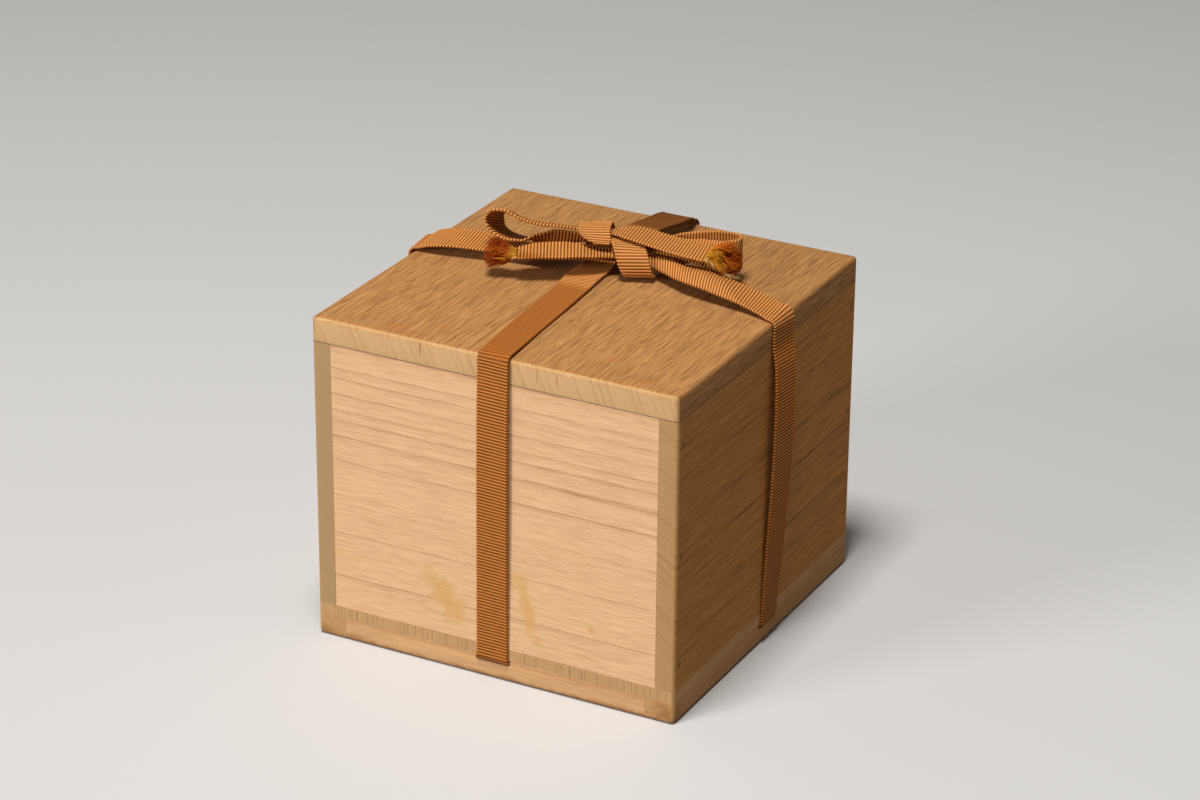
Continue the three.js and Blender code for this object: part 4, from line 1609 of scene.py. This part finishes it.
LEFT_BRUSH = Brush(
    "tail_tuft_left", TAIL_LEFT, (-0.95, -0.22, -0.12),
    clumps=(
        Clump(2.4, 3.4, 10.2, 0.14, 130, 2.3), Clump(0.4, 1.2, 11.8, 0.26, 150, 2.6),
        Clump(-2.2, -0.8, 12.0, 0.10, 120, 2.4), Clump(1.6, -2.4, 11.4, 0.22, 100, 2.4),
        Clump(-1.2, -0.8, 5.4, 0.66, 80, 1.6, 0.9), Clump(-3.6, -1.6, 12.6, 0.88, 5, 1.8),
        Clump(-1.0, -3.6, 11.0, 0.20, 80, 2.2),
    ),
    seed=11,
)
RIGHT_BRUSH = Brush(
    "tail_tuft_right", TAIL_RIGHT, (0.97, 0.02, -0.17),
    clumps=(
        Clump(2.6, 4.0, 10.6, 0.36, 140, 2.5), Clump(3.4, 0.8, 12.6, 0.16, 170, 2.8),
        Clump(0.4, -0.6, 12.6, 0.30, 140, 2.8), Clump(-1.6, 1.6, 7.0, 0.72, 70, 2.2, 1.2),
        Clump(-3.4, -1.4, 9.0, 0.68, 50, 1.9, 1.2), Clump(1.6, -3.4, 12.0, 0.14, 110, 2.4),
        Clump(-4.6, -3.4, 12.2, 0.84, 9, 1.0, 0.5),
    ),
    seed=12,
)


@dataclass
class FrayedEnds:
    """The loose threads at the ends of the two tails."""

    thickness: float = 0.14 * MM
    thinning: float = 0.45
    thread_steps: int = 7
    length: float = 11.0 * MM
    step: float = 0.8 * MM
    frizz: float = 0.34 * MM
    hue_spread: float = 0.1
    foot_gather: float = 0.55
    foot_width: float = 1.5
    foot_height: float = 0.35
    flatness: float = 0.8
    least_reach: float = 0.72
    own_phase: float = 1.4
    swing_turns: float = 2.4
    dip_turns: float = 2.1
    dip_phase: float = 1.7
    fringe_threads: int = 46
    fringe_reach: float = 2.2 * MM
    fringe_width: float = 5.6
    fringe_lean: float = 0.7
    fringe_fall: Range = (-1.4, 0.3)
    fringe_root: float = 0.3
    fringe_hues: Range = (0.8, 0.97)

    def section(self, turn: float, length: float) -> tuple[float, float, float]:
        """A point of a round thread that thins towards its tip."""
        angle = 2 * math.pi * turn
        thick = self.thickness * (1.0 - self.thinning * min(1.0, length / self.length))
        return thick * math.cos(angle), thick * math.sin(angle), 0.5

    def thread(
        self, brush: Brush, clump: Clump, root: Station, phase: float, dice: random.Random
    ) -> list[Station]:
        """Stations of one thread of a clump.

        Args:
            brush: the frayed end.
            clump: the clump that the thread belongs to.
            root: the end of the tail.
            phase: where the clump's own waves begin.
            dice: the seeded random source.

        Returns:
            The thread's stations, from root to tip.
        """
        heading = Vector(brush.heading).normalized()
        side = root.across
        up = Vector((0.0, 0.0, 1.0))
        place = dice.uniform(-1.0, 1.0)
        foot = side * (clump.sideways * self.foot_gather + place * self.foot_width) * MM
        foot += up * dice.uniform(-self.foot_height, self.foot_height) * MM
        angle, radius = dice.uniform(0.0, 2 * math.pi), math.sqrt(dice.random()) * clump.spread
        tip = side * (clump.sideways + math.cos(angle) * radius) * MM
        tip += up * (clump.upward + math.sin(angle) * radius * self.flatness) * MM
        reach = clump.reach * dice.uniform(self.least_reach, 1.0) * MM
        own = dice.uniform(-self.own_phase, self.own_phase)
        rows = []
        for step in range(self.thread_steps + 1):
            share = step / self.thread_steps
            swing = math.sin(phase + own + self.swing_turns * math.pi * share)
            swing *= clump.wave * MM * share ** 0.5
            dip = math.cos(self.dip_phase * phase + own + self.dip_turns * math.pi * share)
            dip *= clump.wave * MM * share * self.flatness
            spot = root.middle + foot.lerp(tip, share ** 0.7) + heading * (reach * share)
            spot += Vector([dice.uniform(-1.0, 1.0) for _ in range(3)]) * (self.frizz * share ** 0.5)
            rows.append(Station(spot + side * swing + up * dip, side))
        return smoothed(rows, 2)

    def fringe(self, brush: Brush, root: Station, dice: random.Random) -> list[Station]:
        """Stations of one short pale thread at the cut edge of the tail."""
        heading = Vector(brush.heading).normalized()
        place = dice.uniform(-self.fringe_width, self.fringe_width)
        start = root.middle + root.across * (place * root.share * MM)
        reach = self.fringe_reach * dice.uniform(0.5, 1.0)
        fall = Vector((0.0, 0.0, dice.uniform(*self.fringe_fall))) * MM
        lean_over = root.across * (dice.uniform(-self.fringe_lean, self.fringe_lean) * MM)
        rows = [
            start - heading * self.fringe_root * MM,
            start + heading * reach * 0.5 + lean_over * 0.4,
            start + heading * reach + lean_over + fall,
        ]
        return smoothed([Station(row, root.across) for row in rows], 3)

    def build(self) -> None:
        """Makes both brushes."""
        threads = FrayedFinish().build()
        for brush in (LEFT_BRUSH, RIGHT_BRUSH):
            dice = random.Random(brush.seed)
            root = on_lid(brush.tail)[-1]
            shape = bmesh.new()
            sweep = Sweep(self.section, 4, self.step)
            for clump in brush.clumps:
                phase = dice.uniform(0.0, 2 * math.pi)
                for _ in range(clump.threads):
                    hue = clump.hue + dice.uniform(-self.hue_spread, self.hue_spread)
                    sweep.add(shape, self.thread(brush, clump, root, phase, dice), (hue, hue))
            for _ in range(self.fringe_threads):
                hue = dice.uniform(*self.fringe_hues)
                sweep.add(shape, self.fringe(brush, root, dice), (hue, hue))
            mesh = finish_sweep(shape, brush.node + "_threads", self.length)
            piece = new_piece(mesh.name, mesh, threads)
            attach(piece, Body.LID.value)
            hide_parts(brush.node)
            log.info("%s: %d faces", brush.node, len(mesh.polygons))


# Studio


@dataclass(frozen=True)
class Softbox:
    """A square soft light: where it hangs, its side, its power and its colour."""

    name: str
    place: Point
    size: float
    power: float
    colour: Colour = (1.0, 0.985, 0.96)


@dataclass
class Studio:
    """The floor, the soft lights and the camera at the photograph's angle."""

    floor_size: float = 8.0
    floor_colour: Colour = (0.60, 0.595, 0.59)
    floor_bounce: Colour = (0.36, 0.345, 0.32)
    floor_roughness: float = 0.8
    floor_height: float = -0.2 * MM
    camera_place: Point = (0.551205, -1.042186, 0.609648)
    camera_target: Point = (-0.00424, 0.01609, 0.070)
    roll: float = math.radians(0.5075)
    lens: float = 110.41
    sensor_width: float = 36.0
    world_colour: Colour = (0.86, 0.84, 0.80)
    world_strength: float = 0.13
    aim: Point = (0.0, 0.0, 0.07)
    lights: tuple[Softbox, ...] = (
        Softbox("front_softbox", (-1.55, -2.75, 1.0), 1.0, 57.0),
        Softbox("top_softbox", (0.05, -0.42, 1.60), 0.4, 26.0),
    )

    def floor(self) -> None:
        """Lays the floor: pale to the camera, plain grey to the light, clear from below."""
        shape = bmesh.new()
        bmesh.ops.create_grid(shape, x_segments=1, y_segments=1, size=self.floor_size / 2)
        mesh = bpy.data.meshes.new("floor")
        shape.to_mesh(mesh)
        shape.free()
        material, web, shader = start_material("floor_paper")
        seen = web.node("LightPath").outputs["Is Camera Ray"]
        web.join(web.mix(seen, self.floor_bounce, self.floor_colour), shader.inputs["Base Color"])
        shader.inputs["Roughness"].default_value = self.floor_roughness
        clear = web.node("BsdfTransparent")
        both = web.node("MixShader")
        web.join(web.node("NewGeometry").outputs["Backfacing"], both.inputs[0])
        web.join(shader.outputs[0], both.inputs[1])
        web.join(clear.outputs[0], both.inputs[2])
        web.join(both.outputs[0], material.node_tree.nodes["Material Output"].inputs["Surface"])
        floor = new_piece("floor", mesh, material)
        floor.location.z = self.floor_height

    def light(self, box: Softbox) -> None:
        """Hangs one softbox, aimed at the middle of the box."""
        data = bpy.data.lights.new(box.name, "AREA")
        data.shape = "SQUARE"
        data.size = box.size
        data.energy = box.power
        data.color = box.colour
        lamp = bpy.data.objects.new(box.name, data)
        lamp.location = box.place
        lamp.rotation_mode = "QUATERNION"
        lamp.rotation_quaternion = (Vector(self.aim) - Vector(box.place)).to_track_quat("-Z", "Y")
        bpy.context.scene.collection.objects.link(lamp)

    def world(self) -> None:
        """Sets the even light from all round."""
        world = bpy.data.worlds.new("studio")
        world.use_nodes = True
        bpy.context.scene.world = world
        background = world.node_tree.nodes["Background"]
        background.inputs["Color"].default_value = (*self.world_colour, 1.0)
        background.inputs["Strength"].default_value = self.world_strength

    def camera(self) -> None:
        """Stands the camera where the photograph was taken."""
        data = bpy.data.cameras.new("camera")
        data.lens = self.lens
        data.sensor_width = self.sensor_width
        camera = bpy.data.objects.new("camera", data)
        camera.location = self.camera_place
        camera.rotation_mode = "QUATERNION"
        aim = (Vector(self.camera_target) - Vector(self.camera_place)).to_track_quat("-Z", "Y")
        camera.rotation_quaternion = aim @ Quaternion((0.0, 0.0, 1.0), self.roll)
        bpy.context.scene.collection.objects.link(camera)
        bpy.context.scene.camera = camera

    def build(self) -> None:
        """Sets up the studio."""
        self.camera()
        self.floor()
        self.world()
        for box in self.lights:
            self.light(box)
        log.info("studio ready")


def main() -> None:
    """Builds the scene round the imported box."""
    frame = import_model()
    bpy.context.scene.view_settings.view_transform = "Standard"
    Studio().build()
    effects = SharedEffects()
    Boards(frame["nodes"], effects).build()
    Pegs(frame["nodes"]).build()
    Ribbon(effects).build()
    FrayedEnds().build()


if __name__ == "__main__":
    main()
